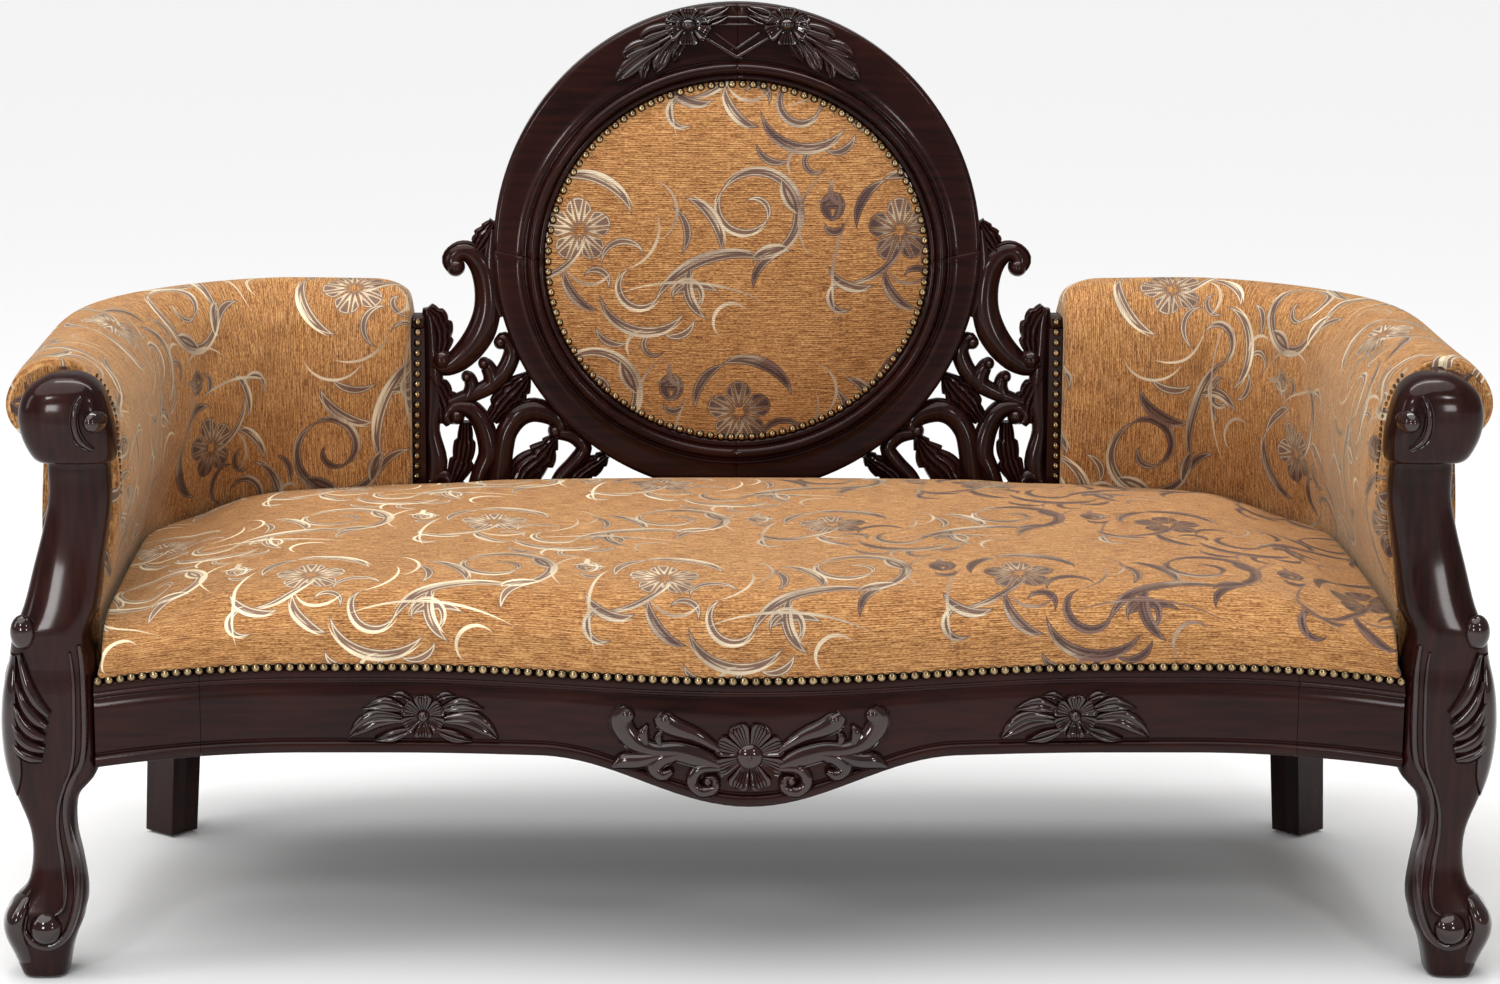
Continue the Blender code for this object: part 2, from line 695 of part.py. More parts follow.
# Strokes of the pierced bracket: share of the way from the stile to the cameo, then height
# above the cross rail and half width, in bracket units
FRETWORK_BASE = [
    (0.03, -6, 10), (0.05, 30, 12), (0.03, 70, 9), (0.05, 100, 11),
    (0.06, 140, 11), (0.05, 175, 9), (0.04, 210, 9), (0.02, 228, 5),
]
FRETWORK_STROKES = {
    "crest_scroll": [
        (0.38, 272, 7), (0.36, 289, 9), (0.50, 301, 10), (0.70, 295, 11),
        (0.84, 271, 12), (0.83, 246, 13), (0.70, 214, 13.5), (0.51, 182, 13),
        (0.32, 159, 11), (0.10, 152, 9)],
    "ring_shoulder": [
        (0.98, 330, 6), (0.96, 290, 11), (0.96, 250, 11), (0.98, 218, 5)],
    "ring_leaf": [(0.76, 300, 6), (0.90, 318, 9), (1.00, 336, 4)],
    "stile_stump": [
        (0.02, 222, 7), (0.13, 208, 12), (0.20, 190, 11), (0.16, 168, 9)],
    "branch": [
        (1.02, 176, 6), (0.89, 154, 6), (0.74, 138, 7), (0.54, 124, 6.5),
        (0.36, 114, 6), (0.19, 108, 6)],
    "branch_curl": [(1.02, 166, 6), (0.94, 183, 6), (0.85, 188, 5)],
    "branch_barb": [(0.64, 130, 6), (0.60, 141, 6), (0.59, 153, 3)],
    "branch_tip": [(0.43, 117, 6), (0.39, 128, 6), (0.39, 139, 3)],
    "stile_leaf": [
        (0.05, 142, 7), (0.13, 121, 12), (0.17, 102, 12), (0.15, 82, 10)],
    "lower_scroll": [
        (0.17, 100, 8), (0.27, 109, 9), (0.39, 100, 10), (0.44, 79, 10),
        (0.41, 55, 10), (0.335, 32, 10), (0.29, 13, 10), (0.26, -6, 10)],
    "scroll_leaf": [
        (0.41, 72, 8), (0.31, 50, 13), (0.21, 26, 13), (0.15, 6, 10),
        (0.13, -6, 8)],
    "spiked_leaf": [
        (0.47, 84, 8), (0.62, 106, 14), (0.81, 128, 13), (1.02, 147, 4)],
    "arch": [
        (0.385, -6, 10), (0.39, 16, 10), (0.44, 46, 10), (0.54, 74, 10),
        (0.70, 95, 10), (0.86, 101, 10), (0.93, 90, 9), (0.91, 75, 8),
        (0.83, 66, 6)],
    "arch_link": [(0.90, 86, 7), (1.03, 82, 6)],
    "small_scroll": [
        (0.88, 68, 6), (0.98, 66, 7), (0.945, 48, 7), (0.805, 28, 8),
        (0.755, 8, 8), (0.735, -6, 8)],
    "arch_leaf": [
        (0.50, -6, 9), (0.535, 16, 14), (0.61, 37, 13), (0.84, 62, 4)],
    "last_leaf": [(0.79, -6, 9), (0.87, 16, 9), (0.96, 36, 4)],
}
FRETWORK_BOSSES = {"crest_boss": (0.13, 166, 13), "lower_boss": (0.21, 89, 12)}
FRETWORK_EDGE_FLOOR = 0.045


def bracket_place(share, height):
    """Elevation point of the bracket, between the stile and the cameo's edge."""
    z = CROSS_RAIL_TOP + height * FRETWORK_UNIT
    level = max(z, CAMEO_BOTTOM + FRETWORK_EDGE_FLOOR) - CAMEO_CENTRE_Z
    edge = math.sqrt(max(CAMEO_RADIUS ** 2 - level ** 2, 0))
    return STILE_INNER_X - share * (STILE_INNER_X - edge), z


def stroke(points, thickness):
    """A flat ribbon along a smooth curve, with the width that each point gives."""
    places = [(*bracket_place(share, height), half * FRETWORK_UNIT)
              for share, height, half in points]
    run = smooth_run(places, 2)
    rings = []
    for i, (x, z, half) in enumerate(run):
        before = run[max(i - 1, 0)]
        after = run[min(i + 1, len(run) - 1)]
        way = Vector((after[0] - before[0], after[1] - before[1])).normalized()
        left = (x - way.y * half, z + way.x * half)
        right = (x + way.y * half, z - way.x * half)
        rings.append([reclined(left[0], -thickness / 2, left[1]),
                      reclined(left[0], thickness / 2, left[1]),
                      reclined(right[0], thickness / 2, right[1]),
                      reclined(right[0], -thickness / 2, right[1])])
    return loft(rings)


def boss(share, height, radius, thickness):
    x, z = bracket_place(share, height)
    radius *= FRETWORK_UNIT
    rings = []
    for depth in (-thickness / 2, thickness / 2):
        ring = []
        for k in range(12):
            turn = 2 * math.pi * k / 12
            ring.append(reclined(x + radius * math.cos(turn), depth, z + radius * math.sin(turn)))
        rings.append(ring)
    return loft(rings)


def fretwork(parent):
    """Pierced scroll brackets, joined from strokes and trimmed to the pieces round them."""
    panels = add_pair("fretwork", stroke(FRETWORK_BASE, FRETWORK_THICKNESS),
                      "dark_mahogany", parent)
    shapes = []
    for index, (name, points) in enumerate(FRETWORK_STROKES.items()):
        thinner = FRETWORK_THICKNESS * (0.98 - 0.016 * index)
        shapes.append((name, stroke(points, thinner)))
    for index, (name, place) in enumerate(FRETWORK_BOSSES.items()):
        shapes.append((name, boss(*place, FRETWORK_THICKNESS * (1.2 + 0.05 * index))))
    for name, bm in shapes:
        for panel, tool in zip(panels, add_tool_pair(name, bm, parent)):
            combine(panel, tool, "UNION")
    reach = RING_THICKNESS
    cameo = loft([[cameo_point(CAMEO_RADIUS + GAP, t, d) for t in cameo_turns()]
                  for d in (-reach, reach)])
    round_tool = add_tool("cameo_round", cameo, parent)
    stile_side = box(STILE_INNER_X - GAP, STILE_OUTER_X + STILE_WIDTH, BACK_Y - 3 * reach,
                     BACK_Y + 3 * reach, SEAT_RAIL_TOP, WING_TOP)
    under = box(0, STILE_OUTER_X, BACK_Y - 3 * reach, BACK_Y + 3 * reach, SEAT_RAIL_TOP,
                CROSS_RAIL_TOP + GAP)
    trims = (add_tool_pair("stile_side", stile_side, parent),
             add_tool_pair("cross_rail_top", under, parent), (round_tool, round_tool))
    for pair in trims:
        for panel, tool in zip(panels, pair):
            combine(panel, tool)
    return round_tool


def cross_rail_faces():
    middle = reclined(0, 0, CROSS_RAIL_TOP).y
    return middle - CROSS_RAIL_THICKNESS / 2, middle + CROSS_RAIL_THICKNESS / 2


def cross_rail(parent, round_tool):
    front, back = cross_rail_faces()
    half = STILE_INNER_X - GAP
    bm = box(-half, half, front, back, SEAT_RAIL_TOP + GAP, CROSS_RAIL_TOP)
    combine(add_piece("back_cross_rail", bm, "dark_mahogany", parent), round_tool)


def seat_half():
    return SIDE_X - WING_PAD_SEAT - SEAT_CLEARANCE


def seat_floor(x):
    return rail_top(x) + STRAP_THICKNESS + 4 * GAP


def seat_back(x):
    """Where the seat ends behind: at the cross rail and ring, then at the wings' inner faces."""
    front, _ = cross_rail_faces()
    front = min(front, reclined(0, -RING_THICKNESS / 2, CAMEO_BOTTOM).y)
    wing = BACK_Y - WING_PAD_SEAT - SEAT_CLEARANCE
    x = abs(x)
    if x < STILE_INNER_X - 2 * STILE_WIDTH:
        return front - GAP
    if x < STILE_INNER_X - STILE_WIDTH:
        share = (x - STILE_INNER_X + 2 * STILE_WIDTH) / STILE_WIDTH
        return front - GAP + (wing - front + GAP) * share
    if x < CORNER_X:
        return wing
    radius = CORNER_RADIUS - WING_PAD_SEAT - SEAT_CLEARANCE
    rise = math.sqrt(max(radius ** 2 - (x - CORNER_X) ** 2, 0))
    return CORNER_Y + rise * math.cos(math.pi / 4 / CORNER_STEPS)


def seat_cushion(parent):
    """A crowned seat, drawn in along the nailed front and at both sides."""
    half = seat_half()
    rings = []
    for k in range(31):
        x = half * math.sin(math.pi * (k / 30 - 0.5))
        front = rail_front(x)
        back = seat_back(x)
        low = seat_floor(x)
        tall = (SEAT_TOP - low) * max(1 - abs(x / half) ** 8, 0.0) ** 0.5
        tall = max(tall, 0.5 * (SEAT_TOP - low))
        deep = back - front
        behind = SEAT_BACK_TUCKED
        if abs(x) < STILE_INNER_X - 2 * STILE_WIDTH:
            behind = SEAT_BACK_FULL
        section = [(front + GAP, low), (front + GAP, low + 0.13 * tall),
                   (front - SEAT_OVERHANG, low + 0.32 * tall), (front, low + 0.52 * tall),
                   (front + 0.04 * deep, low + 0.74 * tall),
                   (front + 0.13 * deep, low + 0.88 * tall),
                   (front + 0.32 * deep, low + 0.96 * tall), (front + 0.6 * deep, low + 0.995 * tall),
                   (front + 0.86 * deep, low + tall),
                   (front + 0.95 * deep, low + (0.8 + 0.2 * behind) * tall),
                   (back, low + behind * tall), (back, low)]
        rings.append([(x, y, z) for y, z in section])
    add_piece("seat_cushion", loft(rings), "brocade", parent)


def seat_support(parent):
    """Webbing, braces and the dust cover under the seat."""
    front_face, _ = cross_rail_faces()
    for k in range(STRAP_COUNT):
        x = STRAP_PITCH * (k - (STRAP_COUNT - 1) / 2)
        low = x - STRAP_WIDTH / 2
        high = x + STRAP_WIDTH / 2
        fore = (rail_top(low) + 2 * GAP, rail_top(high) + 2 * GAP)
        aft = (SEAT_RAIL_TOP + GAP, SEAT_RAIL_TOP + GAP)
        start = max(rail_front(low), rail_front(high)) + RAIL_THICKNESS / 3
        rings = []
        level = BACK_Y - max(FRAME_IN, WING_PAD_SEAT) - SEAT_CLEARANCE
        for y, (z_low, z_high) in ((start, fore), (RAIL_BACK_Y, fore), (level, aft),
                                   (front_face - GAP, aft)):
            rings.append([(low, y, z_low), (high, y, z_high),
                          (high, y, z_high + STRAP_THICKNESS), (low, y, z_low + STRAP_THICKNESS)])
        add_piece("webbing_strap_%d" % (k + 1), loft(rings), "jute", parent)
    brace = box(BRACE_X - BRACE_WIDTH / 2, BRACE_X + BRACE_WIDTH / 2, RAIL_BACK_Y + GAP,
                BACK_Y - FRAME_IN - GAP, SEAT_RAIL_BOTTOM, BRACE_TOP)
    add_pair("seat_brace", brace, "frame_timber", parent)
    inner = FRAME_IN + DUST_COVER_THICKNESS
    side = [(KNEE_INNER_X - DUST_COVER_THICKNESS, RAIL_BACK_Y + GAP)]
    side += [on_path(s, -inner) for s in path_stations(0, ARC_LENGTH)]
    outline = side + [(-x, y) for x, y in reversed(side)]
    top = SEAT_RAIL_BOTTOM - GAP
    cover = loft([[(x, y, z) for x, y in outline] for z in (top - DUST_COVER_THICKNESS, top)])
    add_piece("dust_cover", cover, "cambric", parent)


def wing_section(s):
    """Padding inside the arm, over the arm rail and rolled outwards, with its pocket."""
    floor = SEAT_RAIL_TOP + STRAP_THICKNESS + 2 * GAP
    full = WING_PAD_FULL
    roll = WING_ROLL_OUT
    pocket = ARM_FRAME_HALF + GAP
    top = WING_TOP
    skin = [(-WING_PAD_SEAT, floor), (-WING_PAD_SEAT, SEAT_TOP - 0.03),
            (-0.55 * WING_PAD_SEAT - 0.45 * full, SEAT_TOP + 0.02),
            (-full, SEAT_TOP + 0.09), (-full, top - 0.105), (-0.93 * full, top - 0.066),
            (-0.72 * full, top - 0.032), (-0.36 * full, top - 0.008), (0, top),
            (0.45 * roll, top - 0.004), (0.82 * roll, top - 0.022), (roll, top - 0.050),
            (0.91 * roll, top - 0.076)]
    end = max(0.0, 1 - (PATH_WING_END - s) / WING_END_ROUND)
    draw = 1 - math.sqrt(1 - end * end)
    shaped = []
    for out, height in skin:
        above = max(0.0, height - ARM_RAIL_TOP)
        inner = max(0.0, -out - WING_PAD_SEAT)
        shaped.append((out + inner * draw, height - 0.45 * above * draw))
    shaped += [(FRAME_OUT + 2 * COVER_THICKNESS, ARM_RAIL_BOTTOM + COVER_THICKNESS),
               (pocket, ARM_RAIL_BOTTOM), (pocket, ARM_RAIL_TOP + GAP),
               (-pocket, ARM_RAIL_TOP + GAP), (-pocket, floor)]
    return shaped


def wings(parent):
    start = PATH_WING_END - WING_END_ROUND
    stations = path_stations(PATH_FRONT, start)
    stations += [start + WING_END_ROUND * share for share in (0.4, 0.7, 0.9, 1.0)]
    straight = [PATH_FRONT * share for share in (0.75, 0.5, 0.25)]
    stations = sorted(stations + straight)
    pad = loft([path_ring(s, wing_section(s)) for s in stations])
    add_pair("wing_pad", pad, "brocade", parent)
    outer = FRAME_OUT + GAP
    section = rail_section(COVER_BOTTOM, ARM_RAIL_BOTTOM - GAP, -outer, outer + COVER_THICKNESS)
    cover = loft([path_ring(s, section) for s in path_stations(PATH_FRONT, PATH_WING_END)])
    add_pair("outside_cover", cover, "brocade", parent)


def nail_bands(parent):
    half = seat_half()
    rings = []
    for x in even(-half, half, 41):
        face = rail_front(x) - GAP
        low = rail_top(x) - BAND_WIDTH / 5
        rings.append(box_ring(x, face - BAND_THICKNESS, face, low, low + BAND_WIDTH))
    add_piece("seat_nail_band", loft(rings), "antique_brass", parent)
    face = BACK_Y - FRAME_OUT - GAP
    inner = STILE_INNER_X + (STILE_SHOW - BAND_WIDTH) / 2
    band = box(inner, inner + BAND_WIDTH, face - BAND_THICKNESS, face, SEAT_TOP, ARM_RAIL_TOP)
    add_pair("wing_nail_band", band, "antique_brass", parent)


def bolt_and_bore(start, way, grip):
    """A bolt whose head starts at start, and the cutter for its hole."""
    shank = BOLT_HEAD_HEIGHT + grip + BOLT_DEPTH
    bolt = rod(start, start + way, ((0, BOLT_HEAD_RADIUS), (BOLT_HEAD_HEIGHT, BOLT_HEAD_RADIUS),
                                    (BOLT_HEAD_HEIGHT, BOLT_RADIUS), (shank, BOLT_RADIUS)), 8)
    wide = BOLT_RADIUS + GAP
    bore = rod(start, start + way, ((BOLT_HEAD_HEIGHT / 2, wide), (shank + GAP, wide)), 8)
    return bolt, bore


def front_blocks(parent, legs):
    low = SEAT_RAIL_BOTTOM + GAP
    x = KNEE_INNER_X - GAP
    y = RAIL_BACK_Y + GAP
    plan = [(x - BLOCK_LEG, y), (x, y), (x, y + BLOCK_LEG)]
    bm = loft([[(px, py, z) for px, py in plan] for z in (low, low + BLOCK_HEIGHT)])
    blocks = add_pair("front_corner_block", bm, "frame_timber", parent)
    way = Vector((1, -1, 0)).normalized()
    entry = Vector((x, y + BOLT_SHIFT, low + BLOCK_HEIGHT / 2))
    grip = (BLOCK_LEG - BOLT_SHIFT) / math.sqrt(2) + GAP
    bolt, bore = bolt_and_bore(entry - way * (grip + BOLT_HEAD_HEIGHT), way, grip)
    add_pair("front_leg_bolt", bolt, "steel", parent)
    tools = add_tool_pair("front_leg_bore", bore, parent)
    for block, leg, tool in zip(blocks, legs, tools):
        combine(block, tool)
        combine(leg, tool)


def rear_blocks(parent, legs):
    low = SEAT_RAIL_BOTTOM + GAP
    inner = FRAME_IN + GAP
    section = rail_section(low, low + BLOCK_HEIGHT, inner + REAR_BLOCK_DEPTH, -inner)
    stations = path_stations(PATH_CORNER - REAR_BLOCK_REACH, PATH_CORNER + REAR_BLOCK_REACH)
    bm = loft([path_ring(s, section) for s in stations])
    blocks = add_pair("rear_corner_block", bm, "frame_timber", parent)
    way = Vector((1, 1, 0)).normalized()
    stand_off = GAP + BOLT_HEAD_RADIUS * math.tan(math.pi / 4 / CORNER_STEPS)
    grip = REAR_BLOCK_DEPTH + GAP + stand_off
    depth = inner + REAR_BLOCK_DEPTH + stand_off + BOLT_HEAD_HEIGHT
    start = Vector((*on_path(PATH_CORNER, -depth), low + BLOCK_HEIGHT / 2))
    bolt, bore = bolt_and_bore(start, way, grip)
    add_pair("rear_leg_bolt", bolt, "steel", parent)
    tools = add_tool_pair("rear_leg_bore", bore, parent)
    for block, leg, tool in zip(blocks, legs, tools):
        combine(block, tool)
        combine(leg, tool)


def glides(parent):
    ring = leg_ring(leg_stations()[0])
    front = sum((Vector(p) for p in ring), Vector()) / len(ring)
    ring = rear_leg_ring(GLIDE_HEIGHT, REAR_FOOT_HALF, REAR_FOOT_HALF, REAR_FOOT_HALF,
                         REAR_LEG_SPLAY)
    rear = sum((Vector(p) for p in ring), Vector()) / len(ring)
    for name, place in (("front_glide", front), ("rear_glide", rear)):
        base = Vector((place.x, place.y, 0))
        disc = rod(base, base + Vector((0, 0, 1)),
                   ((0, GLIDE_RADIUS * 0.9), (GLIDE_HEIGHT / 3, GLIDE_RADIUS),
                    (GLIDE_HEIGHT - GAP, GLIDE_RADIUS)), 14)
        add_pair(name, disc, "nylon", parent)


def centre_front_to_back(settee):
    """Moves the whole settee so that its box is centred on the origin, front to back."""
    reach = [v.co.y for item in settee.children if not item.hide_render
             for v in item.data.vertices]
    settee.location.y = -(min(reach) + max(reach)) / 2


def build_settee():
    clear_scene()
    settee = bpy.data.objects.new("settee", None)
    bpy.context.scene.collection.objects.link(settee)
    front = front_legs(settee)
    rear = rear_legs(settee)
    front_rail(settee)
    rail_ends(settee)
    seat_rails(settee)
    arm_rails(settee)
    back_stiles(settee)
    cameo_ring(settee)
    cameo_upholstery(settee)
    round_tool = fretwork(settee)
    cross_rail(settee, round_tool)
    seat_cushion(settee)
    seat_support(settee)
    wings(settee)
    nail_bands(settee)
    front_blocks(settee, front)
    rear_blocks(settee, rear)
    glides(settee)
    centre_front_to_back(settee)


build_settee()
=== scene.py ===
# %% [markdown]
# # Dressing a cameo-back settee
# The frame already holds every piece of this settee at its true size. This lesson gives it its
# looks: lacquered dark mahogany with carving, padded forms under a figured brocade, and rows of
# brass nails. Nothing in the frame is moved; a finer piece takes a solid's place where it must.

# %% Load the frame
import json
import math

import bmesh
import bpy
from mathutils import Matrix, Vector

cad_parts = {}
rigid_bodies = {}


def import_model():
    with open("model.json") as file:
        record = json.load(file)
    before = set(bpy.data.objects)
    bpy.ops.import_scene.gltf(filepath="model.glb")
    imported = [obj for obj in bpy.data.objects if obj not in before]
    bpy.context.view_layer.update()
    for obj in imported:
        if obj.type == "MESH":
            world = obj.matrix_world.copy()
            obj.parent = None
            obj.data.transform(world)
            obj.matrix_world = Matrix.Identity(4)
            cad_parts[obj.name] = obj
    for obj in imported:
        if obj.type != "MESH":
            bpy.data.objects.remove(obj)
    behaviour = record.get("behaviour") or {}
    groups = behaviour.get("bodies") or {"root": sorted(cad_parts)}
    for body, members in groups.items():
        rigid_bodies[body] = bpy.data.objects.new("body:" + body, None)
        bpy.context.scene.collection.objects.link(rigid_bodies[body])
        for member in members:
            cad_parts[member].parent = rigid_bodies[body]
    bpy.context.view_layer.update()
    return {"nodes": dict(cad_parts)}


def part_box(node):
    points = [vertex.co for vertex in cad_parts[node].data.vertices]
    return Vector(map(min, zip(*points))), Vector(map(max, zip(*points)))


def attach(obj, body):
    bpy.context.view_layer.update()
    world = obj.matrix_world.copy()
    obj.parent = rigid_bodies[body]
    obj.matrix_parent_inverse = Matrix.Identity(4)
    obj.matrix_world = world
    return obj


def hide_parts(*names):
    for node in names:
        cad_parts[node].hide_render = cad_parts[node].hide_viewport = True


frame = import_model()
print("solids in the frame:", len(frame["nodes"]))

# %% [markdown]
# Every later piece has to sit on a solid, so the first step measures the solids. Boxes give the
# main lines; the few sizes that a box can't show, such as how far a curve reaches, are named here.

# %% Measure the frame
RAIL_LOW, RAIL_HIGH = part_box("front_rail")
STILE_LOW, STILE_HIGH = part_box("back_stile_right")
LEG_LOW, LEG_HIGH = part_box("front_leg_right")
RING_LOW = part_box("cameo_ring_lower_right")[0]
RING_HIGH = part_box("cameo_ring_upper_right")[1]
SEAT_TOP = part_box("seat_cushion")[1].z
WING_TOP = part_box("wing_pad_right")[1].z
ARM_RAIL_LOW, ARM_RAIL_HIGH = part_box("arm_rail_right")
HALF_WIDTH = LEG_HIGH.x
BACK_Y = (STILE_LOW.y + STILE_HIGH.y) / 2
CLEAR = 0.0006
print("half width %.3f, seat %.3f, wings %.3f" % (HALF_WIDTH, SEAT_TOP, WING_TOP))

# %% [markdown]
# The front rail swells forward and drops in the middle, and its ends fall towards the legs. A
# cosine swell describes both, so the nails, the mouldings and the seat can all follow one line.

# %% Line of the front rail
RAIL_BOW = 0.030
RAIL_BOW_REACH = 0.42
RAIL_DROP = 0.056
RAIL_DROP_REACH = 0.24
RAIL_DIP = 0.009
RAIL_END_FALL = 0.018
KNEE_WIDTH = 0.114
RAIL_BLOCK = 0.122
KNEE_X = HALF_WIDTH - KNEE_WIDTH
RAIL_JOINT_X = KNEE_X - RAIL_BLOCK


def swell(x, reach):
    """One in the middle, nothing past its reach."""
    share = min(abs(x) / reach, 1.0)
    return 0.5 + 0.5 * math.cos(math.pi * share)


def end_share(x):
    """Nothing along the middle of the rail, one at the legs."""
    start = 2 * RAIL_JOINT_X - KNEE_X
    return max(0.0, (abs(x) - start) / (KNEE_X - start)) ** 2


def rail_front(x):
    return RAIL_LOW.y + RAIL_BOW * (1 - swell(x, RAIL_BOW_REACH))


def rail_top(x):
    return RAIL_HIGH.z - RAIL_DIP * swell(x, RAIL_BOW_REACH) - RAIL_END_FALL * end_share(x)


def rail_bottom(x):
    drop = RAIL_DROP * (swell(x, RAIL_DROP_REACH) - 1)
    return RAIL_LOW.z - drop - RAIL_END_FALL * end_share(x)


print("rail stands %.3f to %.3f at the middle" % (rail_bottom(0), rail_top(0)))

# %% [markdown]
# The sides and the back follow one line in plan: straight sides, a round corner and a straight
# back. A piece beside that line only needs its distance along it and its distance outwards.

# %% Line of the wings
SIDE_INSET = 0.081
SIDE_X = HALF_WIDTH - SIDE_INSET
CORNER_RADIUS = 0.220
CORNER_X = SIDE_X - CORNER_RADIUS
CORNER_Y = BACK_Y - CORNER_RADIUS
ARC_LENGTH = CORNER_RADIUS * math.pi / 2
STILE_SHOW = 0.017
WING_START = LEG_HIGH.y + CLEAR - CORNER_Y
WING_END = ARC_LENGTH + CORNER_X - STILE_LOW.x - STILE_SHOW


def on_path(s, out):
    """Plan point at distance s past the start of the corner, moved outwards."""
    if s <= 0:
        return SIDE_X + out, CORNER_Y + s
    if s >= ARC_LENGTH:
        return CORNER_X - (s - ARC_LENGTH), BACK_Y + out
    turn = s / CORNER_RADIUS
    radius = CORNER_RADIUS + out
    return CORNER_X + radius * math.cos(turn), CORNER_Y + radius * math.sin(turn)


print("each wing runs %.3f m along the frame" % (WING_END - WING_START))

# %% [markdown]
# The cameo, its ring and the pierced brackets lean back together. One function turns a place
# seen from the front, with a depth, into a point of that leaning back.

# %% Plane of the cameo
CAMEO_LEAN = math.radians(5.46)
CAMEO_SET_FORWARD = 0.005
CAMEO_RADIUS = (RING_HIGH.z - RING_LOW.z) / 2
CAMEO_Z = (RING_HIGH.z + RING_LOW.z) / 2
RING_THICKNESS = 0.035
OVAL_DROP = 0.014
OVAL_Z = CAMEO_Z - OVAL_DROP
RING_AT_SIDES = 0.0665
RING_AT_ENDS = 0.0835
OVAL_WIDE = CAMEO_RADIUS - RING_AT_SIDES
OVAL_TALL = CAMEO_RADIUS - RING_AT_ENDS


def reclined(x, z, lift=0.0):
    """A point of the leaning back; lift is how far it stands in front of the middle plane."""
    y = BACK_Y - CAMEO_SET_FORWARD + (z - RING_LOW.z) * math.tan(CAMEO_LEAN)
    return Vector((x, y - lift, z))


print("cameo %.3f m across, centred %.3f m up" % (2 * CAMEO_RADIUS, CAMEO_Z))

# %% [markdown]
# The camera stands a little left of the middle and looks slightly down. A long lens keeps the
# legs upright, and a small sideways shift frames the settee as it was photographed.

# %% Camera
CAMERA_PLACE = (-0.135, -4.5317, 1.5112)
CAMERA_PITCH = math.radians(77.5)
LENS_MM = 91.32
SENSOR_MM = 36
SIDE_SHIFT = 0.079

camera = bpy.data.cameras.new("camera")
camera.lens = LENS_MM
camera.sensor_width = SENSOR_MM
camera.shift_x = SIDE_SHIFT
viewer = bpy.data.objects.new("camera", camera)
viewer.location = CAMERA_PLACE
viewer.rotation_euler = (CAMERA_PITCH, 0, 0)
bpy.context.scene.collection.objects.link(viewer)
bpy.context.scene.camera = viewer
bpy.context.scene.view_settings.view_transform = "Standard"
print("camera lens", camera.lens)

# %% [markdown]
# A studio needs a pale floor, an even surround and soft lamps. Two lamps stand low in front, where
# the sloping posts mirror them to the camera, two small ones make glints on the carving, one at the
# left side models the arms, and a long one above lights the seat.

# %% Floor, surround and lamps
FLOOR_HALF = 40.0
FLOOR_GREY = (0.84, 0.84, 0.84, 1)
FLOOR_ROUGHNESS = 0.9
SURROUND_STRENGTH = 0.30
SKY_STRENGTH = 2.6
SKY_SPREAD = math.radians(70)
SKY_TILT = (math.radians(10), math.radians(-12), 0)
LAMPS = (
    ("front_left", (-1.55, -3.35, 0.98), (-0.5, 0, 0.5), (0.46, 0.46), 18),
    ("front_right", (1.65, -3.35, 0.98), (0.5, 0, 0.5), (0.36, 0.46), 11),
    ("glint_left", (-1.6, -2.6, 2.0), (0, 0, 0.6), (0.30, 0.40), 14),
    ("glint_right", (1.5, -2.7, 2.1), (0, 0, 0.6), (0.24, 0.34), 9),
    ("side_left", (-2.9, -0.9, 1.5), (-0.85, 0, 0.6), (0.50, 1.20), 9),
    ("top", (0.0, 0.10, 3.0), (0, 0.15, 0.5), (2.6, 0.35), 42),
)


def studio_world():
    world = bpy.data.worlds.new("studio")
    world.use_nodes = True
    plain = world.node_tree.nodes["Background"]
    plain.inputs["Color"].default_value = (1, 1, 1, 1)
    plain.inputs["Strength"].default_value = SURROUND_STRENGTH
    bpy.context.scene.world = world


def studio_floor():
    bm = bmesh.new()
    bmesh.ops.create_grid(bm, x_segments=1, y_segments=1, size=FLOOR_HALF)
    mesh = bpy.data.meshes.new("floor")
    bm.to_mesh(mesh)
    bm.free()
    floor = bpy.data.objects.new("floor", mesh)
    paint = bpy.data.materials.new("pale_floor")
    paint.use_nodes = True
    shader = paint.node_tree.nodes["Principled BSDF"]
    shader.inputs["Base Color"].default_value = FLOOR_GREY
    shader.inputs["Roughness"].default_value = FLOOR_ROUGHNESS
    mesh.materials.append(paint)
    bpy.context.scene.collection.objects.link(floor)


def soft_lamp(name, place, target, size, watts):
    """A lamp with a wide face, aimed at a target."""
    lamp = bpy.data.lights.new(name, "AREA")
    lamp.shape = "RECTANGLE"
    lamp.size, lamp.size_y = size
    lamp.energy = watts
    stand = bpy.data.objects.new(name, lamp)
    stand.location = place
    aim = Vector(target) - Vector(place)
    stand.rotation_euler = aim.to_track_quat("-Z", "Y").to_euler()
    bpy.context.scene.collection.objects.link(stand)


def soft_sky():
    """A very wide sun: it lights the whole floor alike, so the background stays even."""
    lamp = bpy.data.lights.new("sky", "SUN")
    lamp.energy = SKY_STRENGTH
    lamp.angle = SKY_SPREAD
    stand = bpy.data.objects.new("sky", lamp)
    stand.rotation_euler = SKY_TILT
    bpy.context.scene.collection.objects.link(stand)


studio_world()
studio_floor()
soft_sky()
for lamp in LAMPS:
    soft_lamp(*lamp)
print("lamps:", len(bpy.data.lights))

# %% [markdown]
# Materials are built from nodes, and most of a pattern is arithmetic. Adding Math nodes one by one
# hides the formula, so a small class wraps a socket: an expression such as 1 - mask adds its own
# nodes. One method makes any other kind of node.

